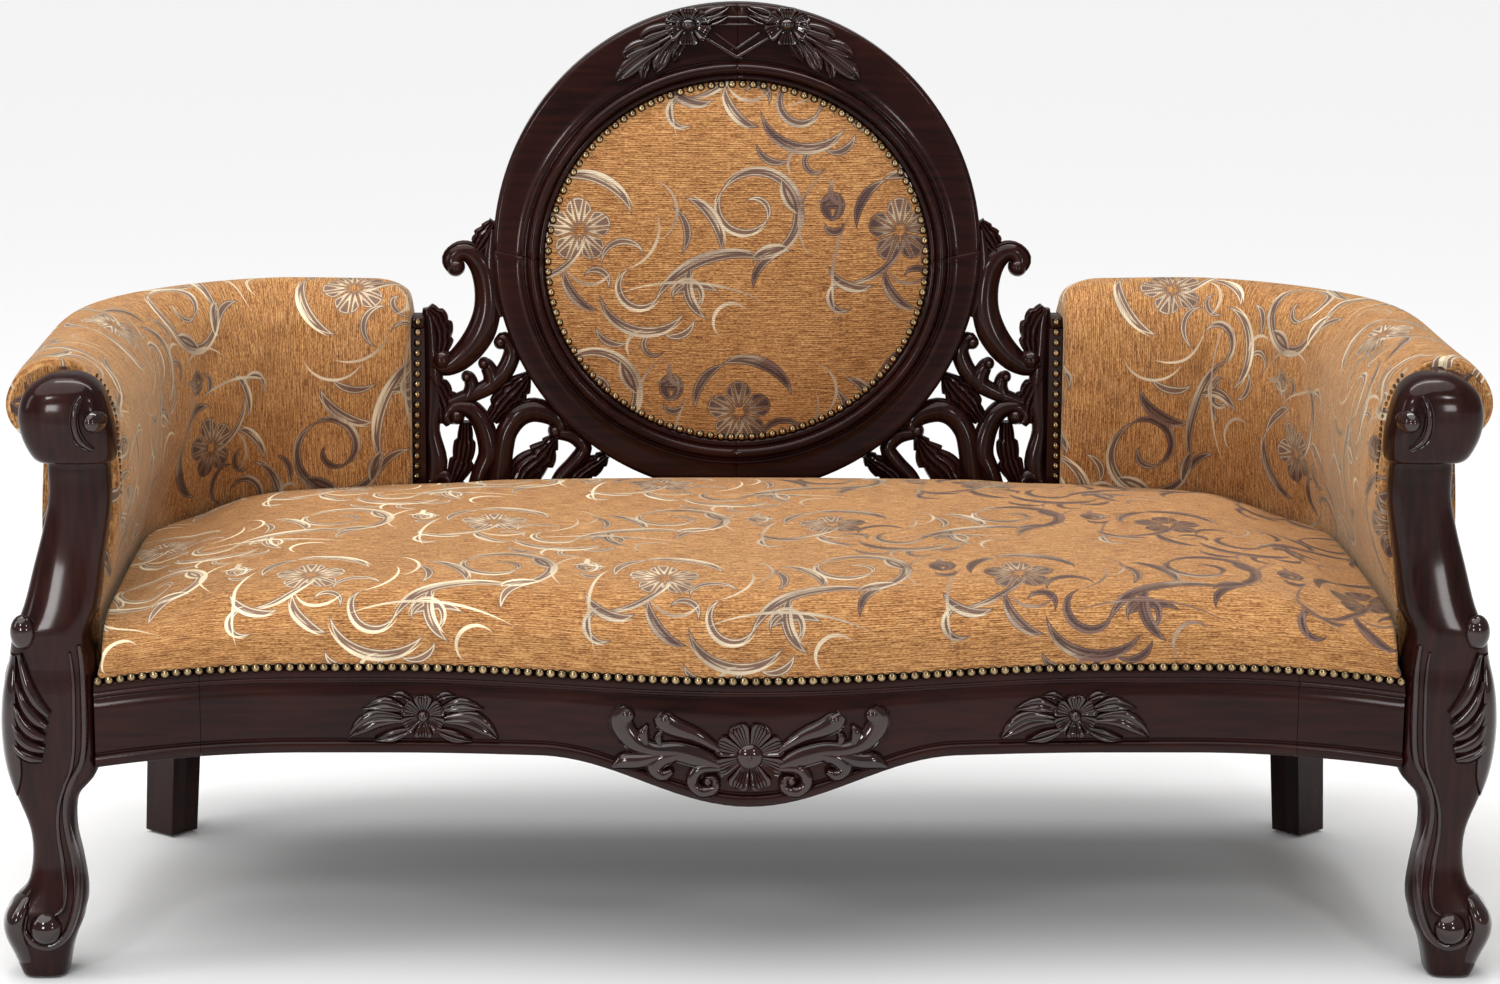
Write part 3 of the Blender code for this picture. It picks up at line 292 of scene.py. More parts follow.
# %% A socket for expressions
class Wire:
    """A node socket that can stand in a Python expression."""

    def __init__(self, tree, socket=None):
        self.tree = tree
        self.socket = socket

    def node(self, kind, settings, inputs, output=0):
        made = self.tree.nodes.new(kind)
        for key, value in settings.items():
            setattr(made, key, value)
        for key, value in inputs.items():
            if isinstance(value, Wire):
                self.tree.links.new(value.socket, made.inputs[key])
            else:
                made.inputs[key].default_value = value
        return Wire(self.tree, made.outputs[output])

    def math(self, operation, *values):
        return self.node("ShaderNodeMath", {"operation": operation}, dict(enumerate(values)))

    def vector(self, operation, *values, output=0):
        inputs = dict(enumerate(values))
        return self.node("ShaderNodeVectorMath", {"operation": operation}, inputs, output)

    def parts(self):
        split = self.node("ShaderNodeSeparateXYZ", {}, {0: self})
        outputs = split.socket.node.outputs
        return [Wire(self.tree, outputs[k]) for k in range(2)]

    def mix(self, low, high):
        """The colour between low and high, with this socket as the share."""
        return self.node("ShaderNodeMix", {"data_type": "RGBA"}, {0: self, 6: low, 7: high}, 2)

    def step(self, start, end):
        """Zero up to start, one from end, straight in between."""
        return self.node("ShaderNodeMapRange", {}, {0: self, 1: start, 2: end})

    def noise(self, spot, scale, detail=2.0):
        inputs = {"Vector": spot, "Scale": scale, "Detail": detail}
        return self.node("ShaderNodeTexNoise", {}, inputs, "Fac")

    def stretched(self, scale):
        """The same coordinates, scaled for each axis, for streaks and grain."""
        return self.node("ShaderNodeMapping", {}, {0: self, "Scale": scale})

    def __add__(self, other):
        return self.math("ADD", self, other)

    def __sub__(self, other):
        return self.math("SUBTRACT", self, other)

    def __rsub__(self, other):
        return self.math("SUBTRACT", other, self)

    def __mul__(self, other):
        return self.math("MULTIPLY", self, other)

    def __truediv__(self, other):
        return self.math("DIVIDE", self, other)

    def __abs__(self):
        return self.math("ABSOLUTE", self)

    __radd__ = __add__
    __rmul__ = __mul__


class Finish:
    """A new material, its shader and a wire to start expressions from."""

    def __init__(self, name, **sockets):
        self.material = bpy.data.materials.new(name)
        self.material.use_nodes = True
        self.tree = self.material.node_tree
        self.shader = self.tree.nodes["Principled BSDF"]
        self.wire = Wire(self.tree)
        for key, value in sockets.items():
            self.shader.inputs[key.replace("_", " ")].default_value = value

    def place(self):
        return self.wire.node("ShaderNodeTexCoord", {}, {}, "Object")

    def cloth_place(self):
        return self.wire.node("ShaderNodeUVMap", {"uv_map": "cloth"}, {})

    def feed(self, **sockets):
        for key, value in sockets.items():
            self.tree.links.new(value.socket, self.shader.inputs[key.replace("_", " ")])

    def bump(self, height, distance, strength):
        inputs = {"Height": height, "Distance": distance, "Strength": strength}
        self.feed(Normal=self.wire.node("ShaderNodeBump", {}, inputs))


print("expression helper ready")

# %% [markdown]
# The show wood is mahogany stained almost black, with red-brown where the stain is thin, under a
# glossy lacquer. Long noise streaks make the grain, and the lacquer is the shader's coat. The
# grain has to run along each piece, so there is one finish for uprights and one for rails. Carving
# has a third, with more lacquer, because its many small slopes show the gloss best.

# %% Lacquered mahogany
STAIN_DARK = (0.0060, 0.0020, 0.0019, 1)
STAIN_RED = (0.0270, 0.0058, 0.0042, 1)
LACQUER_TINT = (1.0, 0.66, 0.58, 1)
GRAIN_UPRIGHT = (150, 150, 11)
GRAIN_LEVEL = (11, 150, 150)


def mahogany(name, stretch, coat, haze):
    finish = Finish(name, Coat_Weight=coat, Coat_Roughness=haze, Specular_IOR_Level=0.08,
                    Specular_Tint=LACQUER_TINT)
    spot = finish.place()
    grain = finish.wire.noise(spot.stretched(stretch), 1.0, 5.0)
    cloud = finish.wire.noise(spot, 6.0, 3.0)
    red = (grain * 0.75 + cloud * 0.55 - 0.35).step(0.12, 0.62)
    finish.feed(Base_Color=red.mix(STAIN_DARK, STAIN_RED))
    finish.feed(Roughness=0.20 + cloud * 0.12 + grain * 0.05)
    finish.bump(grain + cloud * 0.5, 0.0005, 0.22)
    return finish.material


WOOD_UPRIGHT = mahogany("mahogany_upright", GRAIN_UPRIGHT, 0.30, 0.11)
WOOD_LEVEL = mahogany("mahogany_level", GRAIN_LEVEL, 0.20, 0.11)
WOOD_CARVED = mahogany("mahogany_carved", GRAIN_LEVEL, 1.0, 0.07)
print("wood finishes:", WOOD_UPRIGHT.name, WOOD_LEVEL.name, WOOD_CARVED.name)

# %% [markdown]
# The nails are antiqued brass: bright on the crown, partly polish and partly a painted highlight, and
# almost black round the rim. Each head carries how near its crown a point lies, so one finish can
# show both.

# %% Antique brass
BRASS_POLISH_AND_HIGHLIGHT = (0.42, 0.30, 0.160, 1)
BRASS_RIM_DARK = (0.030, 0.020, 0.012, 1)


def antique_brass():
    finish = Finish("antique_brass", Metallic=1.0)
    spot = finish.place()
    crown = finish.wire.node("ShaderNodeAttribute", {"attribute_name": "crown"}, {}, "Fac")
    # Painted highlight in part: the crown is painted bright like a lamp's glint as well as polish; the
    # rim is painted near black.
    crown_polish_and_highlight = crown + finish.wire.noise(spot, 90.0, 3.0) * 0.5
    finish.feed(Base_Color=crown_polish_and_highlight.step(0.90, 1.30).mix(BRASS_RIM_DARK, BRASS_POLISH_AND_HIGHLIGHT))
    finish.feed(Roughness=0.16 + finish.wire.noise(spot, 400.0) * 0.16)
    return finish.material


BRASS = antique_brass()
print("metal finish:", BRASS.name)

# %% [markdown]
# The plain inner materials still deserve a real surface, because the settee can be turned over:
# raw timber with grain, woven jute, thin black cloth, plated steel and moulded nylon.

# %% Inner materials
TIMBER_DARK = (0.20, 0.105, 0.05, 1)
TIMBER_LIGHT = (0.40, 0.25, 0.135, 1)
JUTE_DARK = (0.22, 0.14, 0.07, 1)
JUTE_LIGHT = (0.50, 0.37, 0.21, 1)
JUTE_PITCH = 0.004
DUST_BLACK = (0.010, 0.010, 0.011, 1)
DUST_GREY = (0.035, 0.035, 0.037, 1)
DUST_PITCH = 0.0025
NYLON_BLACK = (0.028, 0.028, 0.028, 1)
STEEL_DULL = (0.35, 0.35, 0.36, 1)
STEEL_BRIGHT = (0.62, 0.61, 0.58, 1)


def raw_timber():
    finish = Finish("raw_timber", Roughness=0.7)
    spot = finish.place()
    grain = finish.wire.noise(spot.stretched((60, 60, 9)), 1.0, 4.0)
    finish.feed(Base_Color=grain.step(0.3, 0.7).mix(TIMBER_DARK, TIMBER_LIGHT))
    finish.bump(grain, 0.0008, 0.5)
    return finish.material


def woven(name, dark, light, pitch):
    """A plain weave: threads over and under along two directions."""
    finish = Finish(name, Roughness=0.92)
    turns = 2 * math.pi / pitch
    across, along = finish.place().parts()
    wire = finish.wire
    threads = wire.math("SINE", across * turns) * wire.math("SINE", along * turns)
    fleck = wire.noise(finish.place(), 300.0)
    finish.feed(Base_Color=(threads * 0.3 + fleck).step(0.2, 0.9).mix(dark, light))
    finish.bump(threads, 0.0004, 0.6)
    return finish.material


def moulded_nylon():
    finish = Finish("moulded_nylon", Base_Color=NYLON_BLACK)
    speck = finish.wire.noise(finish.place(), 900.0)
    finish.feed(Roughness=0.42 + speck * 0.2)
    finish.bump(speck, 0.0002, 0.4)
    return finish.material


def plated_steel():
    finish = Finish("plated_steel", Metallic=1.0)
    cloud = finish.wire.noise(finish.place(), 160.0, 3.0)
    finish.feed(Base_Color=cloud.mix(STEEL_DULL, STEEL_BRIGHT))
    finish.feed(Roughness=0.28 + cloud * 0.25)
    return finish.material


TIMBER = raw_timber()
JUTE = woven("jute_webbing", JUTE_DARK, JUTE_LIGHT, JUTE_PITCH)
DUST_CLOTH = woven("black_dust_cloth", DUST_BLACK, DUST_GREY, DUST_PITCH)
NYLON = moulded_nylon()
STEEL = plated_steel()
print("inner finishes:", TIMBER.name, JUTE.name, DUST_CLOTH.name, NYLON.name, STEEL.name)

# %% [markdown]
# The cover is a golden chenille with scrolling foliage woven in satin thread. A picture of it
# would blur up close, so the figure is drawn by formula on the flat cloth's own coordinates, in
# metres. Every stroke is an arc that swells in the middle and ends in a point, and strokes join by
# taking the larger of two depths, a depth being how far a spot lies inside its stroke.

# %% Strokes of the figure
REPEAT = (0.410, 0.232)
FULLNESS = 1.45
MOTIF_SCALE = 1.2
MILLIMETRE = 0.001
PETAL_GAP = 0.0007
PETAL_ROUND = 0.6
PETAL_NOTCH = 0.42
FLOWER_EYE = 0.14
VEIN_GAP = 0.3 * PETAL_GAP


def from_centre(spot, x, y, turn):
    """Distance and direction from a centre in millimetres, the direction counted from a turn."""
    inputs = {0: spot, "Location": (x * MILLIMETRE, y * MILLIMETRE, 0), "Rotation": (0, 0, turn)}
    local = spot.node("ShaderNodeMapping", {"vector_type": "TEXTURE"}, inputs)
    across, along = local.parts()
    return local.vector("LENGTH", local, output="Value"), along.math("ARCTAN2", along, across)


def arc_depth(spot, x, y, radius, start, end, half):
    """Depth inside an arc from start to end degrees; sizes in millimetres."""
    far, angle = from_centre(spot, x, y, math.radians(start + end) / 2)
    share = angle / (math.radians(abs(end - start)) / 2)
    away = abs(far - radius * MILLIMETRE)
    return (1 - share * share) * (half * FULLNESS * MILLIMETRE) - away


def flower_depth(spot, x, y, radius, petals, turn):
    """Depth inside a ring of rounded, parted petals with an open middle."""
    far, angle = from_centre(spot, x, y, math.radians(turn))
    angle = angle * petals
    size = radius * MILLIMETRE
    swing = abs(spot.math("COSINE", angle * 0.5))
    rim = swing.math("POWER", swing, PETAL_ROUND) * (PETAL_NOTCH * size) + (1 - PETAL_NOTCH) * size - far
    whole = rim.math("MINIMUM", rim, far * swing * (2 / petals) - PETAL_GAP)
    veined = abs(spot.math("COSINE", angle * 1.5))
    whole = whole.math("MINIMUM", whole, far * veined * (2 / petals / 3) - VEIN_GAP)
    return whole.math("MINIMUM", whole, far - FLOWER_EYE * size)


def repeated(spot, x, y):
    """Coordinates about one motif's centre, the same in every repeat. Rows step by half a repeat."""
    moved = spot.vector("SUBTRACT", spot, (x * MILLIMETRE, y * MILLIMETRE, 0))
    across, along = moved.parts()
    row = spot.math("FLOOR", along / REPEAT[1] + 0.5)
    stepped = spot.node("ShaderNodeCombineXYZ", {}, {0: across + row * (REPEAT[0] / 2), 1: along})
    half = (REPEAT[0] / 2, REPEAT[1] / 2, 1)
    local = stepped.vector("WRAP", stepped, half, (-half[0], -half[1], -1))
    return local.vector("MULTIPLY", local, (1 / MOTIF_SCALE, 1 / MOTIF_SCALE, 1))


print("cloth repeat %.2f by %.2f m" % REPEAT)

# %% [markdown]
# Four motifs share the repeat: a great scroll with feathered leaves, an open flower under a leaf, a
# bud on a thin stem, and a garland with small curls. Each has broad strokes in a darker thread and
# fine ones in a paler thread, many of them along one edge of the broad ones, partly a thread and
# partly a painted highlight on the satin. All are listed as arcs: centre, radius, first and last
# angle, half width.

# %% Motifs of the figure
GREAT_SCROLL = [
    (0, 44, 44, -115, 165, 4.4), (-14, 52, 28, 135, 345, 3.4), (-3, 45, 15, 310, 490, 2.6),
    (-24, -93, 95, 66, 156, 4.6), (-125, -34, 22, -10, -250, 3.2), (-88, 12, 50, -12, 78, 4.6),
    (-30, -30, 44, 148, 240, 4.2), (20, -20, 28, 55, 155, 3.8), (30, -32, 34, 92, 185, 3.4),
    (-62, -72, 40, 55, 135, 3.4), (-108, 22, 34, -40, 60, 3.2), (56, 72, 28, 150, 262, 3.2),
]
GREAT_SCROLL_FINE = [
    (0, 44, 48, -100, 140, 1.5), (-14, 52, 31, 150, 320, 1.2), (-24, -93, 99, 76, 145, 1.6),
    (-88, 12, 54, -2, 70, 1.4), (-30, -30, 40, 160, 228, 1.3), (-125, -34, 25, -30, -210, 1.3),
    (20, -20, 31, 65, 145, 1.3), (104, 34, 60, 120, 215, 1.1), (56, 72, 31, 165, 250, 1.3),
    (-150, 30, 46, -75, 20, 1.1),
]
FLOWER_LEAVES = [
    (0, 0, 54, 14, 118, 4.8), (-6, 6, 45, 104, 190, 3.8), (-62, 8, 66, -8, -92, 2.6),
    (-64, -73, 15, 80, 310, 2.8), (20, -48, 40, 172, 266, 4.2), (-48, -30, 34, -60, -165, 3.8),
    (44, -38, 24, 20, 190, 2.8),
]
FLOWER_LEAVES_FINE = [
    (0, 0, 58, 24, 110, 1.5), (-62, 8, 68, -15, -85, 1.1), (20, -48, 43.5, 185, 258, 1.4),
    (-64, -73, 17.5, 95, 280, 1.2), (-48, -30, 37, -70, -150, 1.3), (66, 18, 34, -60, 70, 1.1),
]
BUD = [(0, 52, 13, 20, 160, 5.0), (-9, 62, 17, -70, 60, 3.8), (9, 62, 17, 120, 250, 3.8),
       (2, 44, 10, 180, 360, 3.0)]
BUD_FINE = [(150, -20, 150, 150, 196, 1.1), (12, 78, 15, 130, 290, 1.8), (-14, 80, 13, -110, 50, 1.6),
            (-12, 62, 20, -60, 50, 1.2)]
GARLAND = [
    (0, 36, 50, 190, 328, 4.4), (44, 26, 15, -70, 210, 2.8), (-53, 38, 14, -30, 160, 2.8),
    (10, -27, 12, 60, 330, 2.4), (30, 4, 22, 236, 355, 3.0), (-30, -4, 24, 190, 300, 3.0),
]
GARLAND_FINE = [
    (0, 36, 54, 200, 316, 1.4), (44, 26, 17.5, -50, 180, 1.1), (-2, -30, 18, 90, 220, 1.3),
    (40, -150, 190, 62, 112, 1.0), (92, -2, 20, 40, 230, 1.4), (-60, 62, 26, 200, 330, 1.3),
]
FLOWER_RADIUS = 35
FLOWER_PETALS = 5
FLOWER_TURN = 20
FLOWER_SHIFT = (-4, -4)
SCROLL_AT = (130, 112)
FLOWER_AT = (318, 146)
BUD_AT = (226, 100)
GARLAND_AT = (398, 30)


def motif(spot, arcs, whole=None):
    """The arcs one by one, each joined at once to what is drawn already."""
    for arc in arcs:
        depth = arc_depth(spot, *arc)
        whole = whole.math("MAXIMUM", whole, depth) if whole else depth
    return whole


def broad_strokes(flat):
    figure = motif(repeated(flat, *SCROLL_AT), GREAT_SCROLL)
    spot = repeated(flat, *FLOWER_AT)
    petals = flower_depth(spot, *FLOWER_SHIFT, FLOWER_RADIUS, FLOWER_PETALS, FLOWER_TURN)
    figure = motif(spot, FLOWER_LEAVES, figure.math("MAXIMUM", figure, petals))
    figure = motif(repeated(flat, *BUD_AT), BUD, figure)
    return motif(repeated(flat, *GARLAND_AT), GARLAND, figure)


def fine_strokes(flat):
    figure = motif(repeated(flat, *SCROLL_AT), GREAT_SCROLL_FINE)
    figure = motif(repeated(flat, *FLOWER_AT), FLOWER_LEAVES_FINE, figure)
    figure = motif(repeated(flat, *BUD_AT), BUD_FINE, figure)
    return motif(repeated(flat, *GARLAND_AT), GARLAND_FINE, figure)


print("strokes of the great scroll:", len(GREAT_SCROLL) + len(GREAT_SCROLL_FINE))

# %% [markdown]
# The ground is a slubbed chenille: thick soft weft with uneven dyeing, so long thin streaks run one
# way over fine ribs. The figure floats above it in satin: broad strokes darker, fine strokes paler,
# both going from cream and taupe to mauve-brown across the width, partly as random tone and partly
# as a painted sheen, the satin painted as if lit on one side. Satin is also glossier.

# %% Golden brocade
GROUND_DARK = (0.110, 0.044, 0.014, 1)
GROUND_MID = (0.310, 0.132, 0.040, 1)
GROUND_LIGHT = (0.545, 0.300, 0.118, 1)
CREAM = (0.860, 0.730, 0.500, 1)
TAUPE = (0.215, 0.126, 0.082, 1)
MAUVE = (0.052, 0.024, 0.020, 1)
MAUVE_PALE = (0.150, 0.082, 0.060, 1)
SHEEN_TINT = (1.0, 0.84, 0.60, 1)
STREAKS = (44, 460, 1)
FLECKS = (230, 640, 1)
RIB_PITCH = 0.0026
RIB_WOBBLE = 0.0012
VEIN_PITCH = 0.0042


def brocade(name):
    finish = Finish(name, Specular_IOR_Level=0.25, Sheen_Weight=0.28, Sheen_Roughness=0.4,
                    Sheen_Tint=SHEEN_TINT)
    flat = finish.cloth_place()
    wire = finish.wire
    across, along = flat.parts()
    streak = wire.noise(flat.stretched(STREAKS), 1.0, 3.0)
    fleck = wire.noise(flat.stretched(FLECKS), 1.0, 2.0)
    slow = wire.noise(flat, 9.0, 2.0)
    wobble = along + wire.noise(flat, 40.0) * RIB_WOBBLE
    rib = wire.math("SINE", wobble * (2 * math.pi / RIB_PITCH))
    tone = streak * 0.70 + fleck * 0.65 + rib * 0.05 + slow * 0.15
    low = tone.step(0.55, 0.73).mix(GROUND_DARK, GROUND_MID)
    ground = tone.step(0.72, 0.94).mix(low, GROUND_LIGHT)
    # Painted sheen: the satin is paler towards one side of the cloth, as if lit there, mixed with random
    # tone.
    dye_and_painted_sheen = (across * 0.55 + slow * 1.3 + streak * 0.25).step(0.48, 1.02)
    broad = broad_strokes(flat)
    vein = wire.math("SINE", broad * (2 * math.pi / VEIN_PITCH) - 0.9).step(0.35, 0.9) * 0.7
    pale = dye_and_painted_sheen.mix(CREAM, MAUVE_PALE)
    body = vein.mix(dye_and_painted_sheen.mix(TAUPE, MAUVE), pale)
    worn = broad.step(-0.0002, 0.0004) * (fleck * 1.8).step(0.30, 0.75)
    figured = worn.mix(ground, body)
    # Painted highlight in part: the fine pale strokes lie along the edges of the broad satin strokes.
    fine = fine_strokes(flat).step(-0.0003, 0.0004)
    finish.feed(Base_Color=(fine * 0.92).mix(figured, pale))
    finish.feed(Roughness=0.88 - (worn + fine * 0.5) * 0.30)
    finish.bump(rib * 0.35 + streak * 0.9 + fleck * 0.5, 0.0010, 0.55)
    return finish.material


BROCADE = brocade("golden_brocade")
print("brocade nodes:", len(BROCADE.node_tree.nodes))

# %% [markdown]
# Most pieces here are skins: a row of sections joined into a surface. A grid is the quickest start,
# because its points already form rows and columns; each one is then moved to its place. The same
# grid closes into a tube when its first and last rows meet and are merged.

# %% From a grid to a piece
SIDES = ((-1, "left"), (1, "right"))
MEETING = 1e-6
SMOOTH_LEVELS = 1


def placed_grid(columns, rows, place, flat=None):
    """A grid whose points go where place(i, j) says; flat(i, j) is the spot on the cut cloth."""
    bm = bmesh.new()
    layer = bm.loops.layers.uv.new("cloth") if flat else None
    bmesh.ops.create_grid(bm, x_segments=columns, y_segments=rows, size=0.5)
    steps = {}
    for vert in bm.verts:
        steps[vert] = (round((vert.co.x + 0.5) * columns), round((vert.co.y + 0.5) * rows))
    for vert, step in steps.items():
        vert.co = place(*step)
    if flat:
        for face in bm.faces:
            for loop in face.loops:
                loop[layer].uv = flat(*steps[loop.vert])
    return bm


def close_up(bm):
    """Merges rows that meet, fills the open ends and turns every face outwards."""
    bmesh.ops.remove_doubles(bm, verts=bm.verts, dist=MEETING)
    rims = [edge for edge in bm.edges if edge.is_boundary]
    filled = bmesh.ops.holes_fill(bm, edges=rims, sides=0)["faces"]
    layer = bm.loops.layers.uv.get("cloth")
    for face in filled if layer else ():
        for loop in face.loops:
            loop[layer].uv = (loop.vert.co.z, loop.vert.co.x + loop.vert.co.y)
    bmesh.ops.recalc_face_normals(bm, faces=bm.faces)
    return bm


def split_ends(bm):
    """Cuts the many-sided end faces into triangles."""
    bmesh.ops.triangulate(bm, faces=[face for face in bm.faces if len(face.verts) > 4])


def mirrored(bm):
    other = bm.copy()
    bmesh.ops.scale(other, vec=(-1, 1, 1), verts=other.verts)
    bmesh.ops.reverse_faces(other, faces=other.faces)
    return other


def make_piece(name, bm, material, stands_for=(), sharp=40):
    """Turns a bmesh into a finished piece that moves with the settee."""
    mesh = bpy.data.meshes.new(name)
    bm.to_mesh(mesh)
    bm.free()
    mesh.shade_smooth()
    mesh.set_sharp_from_angle(angle=math.radians(sharp))
    mesh.materials.append(material)
    piece = bpy.data.objects.new(name, mesh)
    bpy.context.scene.collection.objects.link(piece)
    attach(piece, "root")
    if stands_for:
        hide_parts(*stands_for)
    return piece


def make_pair(name, right, material, sharp, stands_for=""):
    """The piece on the right and its mirror image on the left."""
    left = mirrored(right)
    for side_name, bm in (("right", right), ("left", left)):
        solids = [stands_for + side_name] if stands_for else ()
        make_piece(name + side_name, bm, material, solids, sharp)


def subdivide(piece):
    smooth = piece.modifiers.new("subdivision", "SUBSURF")
    smooth.levels = SMOOTH_LEVELS
    smooth.render_levels = SMOOTH_LEVELS


print("grid helpers ready; padded pieces are smoothed at level", SMOOTH_LEVELS)

# %% [markdown]
# Stuffing pushes a cover out until its threads take the strain. Blender's cloth does the same with
# a pressure and no gravity, so each cover starts slightly flat and is blown up for a few frames.
# The points that nails or a frame would hold stay pinned, and no point may move past a limit.

# %% Stuffing by simulation
SETTLE_FRAMES = 20
STUFFING_PRESSURE = 3.0
COVER_STIFFNESS = 2.0


def stuff(piece, held, limit):
    """Inflates a cover. held(point) says whether a point is fixed."""
    mesh = piece.data
    start = [vert.co.copy() for vert in mesh.vertices]
    pins = piece.vertex_groups.new(name="held")
    pins.add([k for k, point in enumerate(start) if held(point)], 1.0, "REPLACE")
    cloth = piece.modifiers.new("stuffing", "CLOTH")
    cloth.settings.vertex_group_mass = "held"
    cloth.settings.use_pressure = True
    cloth.settings.uniform_pressure_force = STUFFING_PRESSURE
    cloth.settings.effector_weights.gravity = 0
    cloth.settings.bending_stiffness = COVER_STIFFNESS
    scene = bpy.context.scene
    for number in range(1, SETTLE_FRAMES + 1):
        scene.frame_set(number)
    settled = piece.evaluated_get(bpy.context.evaluated_depsgraph_get()).to_mesh()
    moved = [vert.co.copy() for vert in settled.vertices]
    piece.modifiers.remove(cloth)
    piece.vertex_groups.remove(pins)
    furthest = 0.0
    for vert, old, new in zip(mesh.vertices, start, moved):
        step = new - old
        if step.length > limit:
            step *= limit / step.length
        furthest = max(furthest, step.length)
        vert.co = old + step
    scene.frame_set(1)
    print("%s swelled by up to %.1f mm" % (piece.name, furthest * 1000))


def run_length(points):
    """How far along a line each of its points lies."""
    lengths = [0.0]
    for a, b in zip(points, points[1:]):
        lengths.append(lengths[-1] + (Vector(b) - Vector(a)).length)
    return lengths


def smooth_run(points, steps):
    """Points on a smooth curve through the given tuples, whatever their length."""
    run = []
    last = len(points) - 1
    for i in range(last):
        p, a = points[max(i - 1, 0)], points[i]
        b, q = points[i + 1], points[min(i + 2, last)]
        for k in range(steps):
            t = k / steps
            run.append(tuple(0.5 * (2 * aa + (bb - pp) * t + (2 * pp - 5 * aa + 4 * bb - qq) * t * t
                                    + (3 * aa - pp - 3 * bb + qq) * t ** 3)
                             for pp, aa, bb, qq in zip(p, a, b, q)))
    run.append(tuple(points[last]))
    return run


def crowded(k, count, even):
    """Step k of count from -1 to 1, closer towards both ends; even is the share of equal steps."""
    share = 2 * k / count - 1
    return even * share + (1 - even) * math.sin(share * math.pi / 2)


print("covers settle for", SETTLE_FRAMES, "frames")

# %% [markdown]
# The seat is a deep sprung cushion nailed to the front rail. Its section rises steeply behind the
# nails, crowns gently and dips at the back. From side to side it arches a little, and both sides
# tuck down against the wings.

# %% Seat
WING_SEAT_DEPTH = 0.034
SEAT_HALF = SIDE_X - WING_SEAT_DEPTH - CLEAR
SEAT_COLUMNS = 96
SEAT_EVEN = 0.4
SEAT_SWELL = 0.007
SEAT_LIFT = 0.005
SEAT_HELD = 2.5 * SEAT_LIFT
SEAT_END_POWER = 10
SEAT_BACK_GAP = 0.005
SEAT_WIDENS = (0.09, 0.05)
SEAT_END_HEIGHT = 0.78
SEAT_CROWN = 0.010
SEAT_CROWN_FALL = 1.8
CROSS_RAIL_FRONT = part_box("back_cross_rail")[0].y
SEAT_SECTION = [
    (0.0, 0.0), (-0.005, 0.12), (-0.009, 0.30), (-0.004, 0.52), (0.022, 0.72), (0.075, 0.86),
    (0.165, 0.94), (0.34, 0.98), (0.60, 1.0), (0.82, 1.0), (0.93, 1.0), (0.985, 0.985),
    (1.0, 0.94), (1.0, 0.40), (1.0, 0.0),
]
SEAT_UNDERSIDE = (0.86, 0.70, 0.54, 0.38, 0.22, 0.08, 0.0)


def seat_back(x):
    """Where the seat ends behind: at the cross rail, then at the wings' inner faces."""
    middle = CROSS_RAIL_FRONT - SEAT_BACK_GAP
    wing = BACK_Y - WING_SEAT_DEPTH - CLEAR
    before, run = SEAT_WIDENS
    share = min(max((abs(x) - STILE_LOW.x + before) / run, 0.0), 1.0)
    straight = middle + (wing - middle) * share
    if abs(x) < CORNER_X:
        return straight
    radius = CORNER_RADIUS - WING_SEAT_DEPTH - CLEAR
    rise = math.sqrt(max(radius ** 2 - (abs(x) - CORNER_X) ** 2, 0))
    return min(straight, CORNER_Y + rise)


def seat_section(x):
    low = rail_top(x) + SEAT_LIFT
    full = max(1 - abs(x / SEAT_HALF) ** SEAT_END_POWER, 0.0) ** 0.5
    crown = SEAT_CROWN * (1 - SEAT_CROWN_FALL * (x / SEAT_HALF) ** 2)
    tall = (SEAT_TOP + crown - low) * max(full, SEAT_END_HEIGHT)
    front = rail_front(x) + CLEAR
    deep = seat_back(x) - front
    section = []
    for y, z in smooth_run(SEAT_SECTION, 3):
        section.append((x, front + min(y, 0.0) + max(y, 0.0) * deep, low + z * tall))
    for y in SEAT_UNDERSIDE:
        section.append((x, front + y * deep, low))
    return section


def seat_cover():
    columns = [seat_section(SEAT_HALF * crowded(k, SEAT_COLUMNS, SEAT_EVEN))
               for k in range(SEAT_COLUMNS + 1)]
    lengths = [run_length(section) for section in columns]
    rows = len(columns[0]) - 1
    bm = placed_grid(SEAT_COLUMNS, rows, lambda i, j: columns[i][j],
                     lambda i, j: (columns[i][j][0], lengths[i][j]))
    seat = make_piece("seat_upholstery", close_up(bm), BROCADE, ["seat_cushion"], 80)
    stuff(seat, lambda p: p.z < rail_top(p.x) + SEAT_HELD, SEAT_SWELL)
    subdivide(seat)


seat_cover()
print("seat %.3f m wide at its front" % (2 * SEAT_HALF))

# %% [markdown]
# Each wing is one long pad that wraps the arm, the corner and half of the back, rolled over the arm
# rail at the top. The section is carried along the wing's line like a jigger along a moulding, and
# it softens at both ends, where the cover is pulled down and nailed.

# %% Section of the wings
WING_ROLL = 0.066
WING_BELLY = 0.062
WING_POCKET = 0.0203
WING_FLOOR = 0.3556
WING_TUCK = 0.004
WING_UNDER = ARM_RAIL_LOW.z + WING_TUCK
POCKET_STEPS = 8


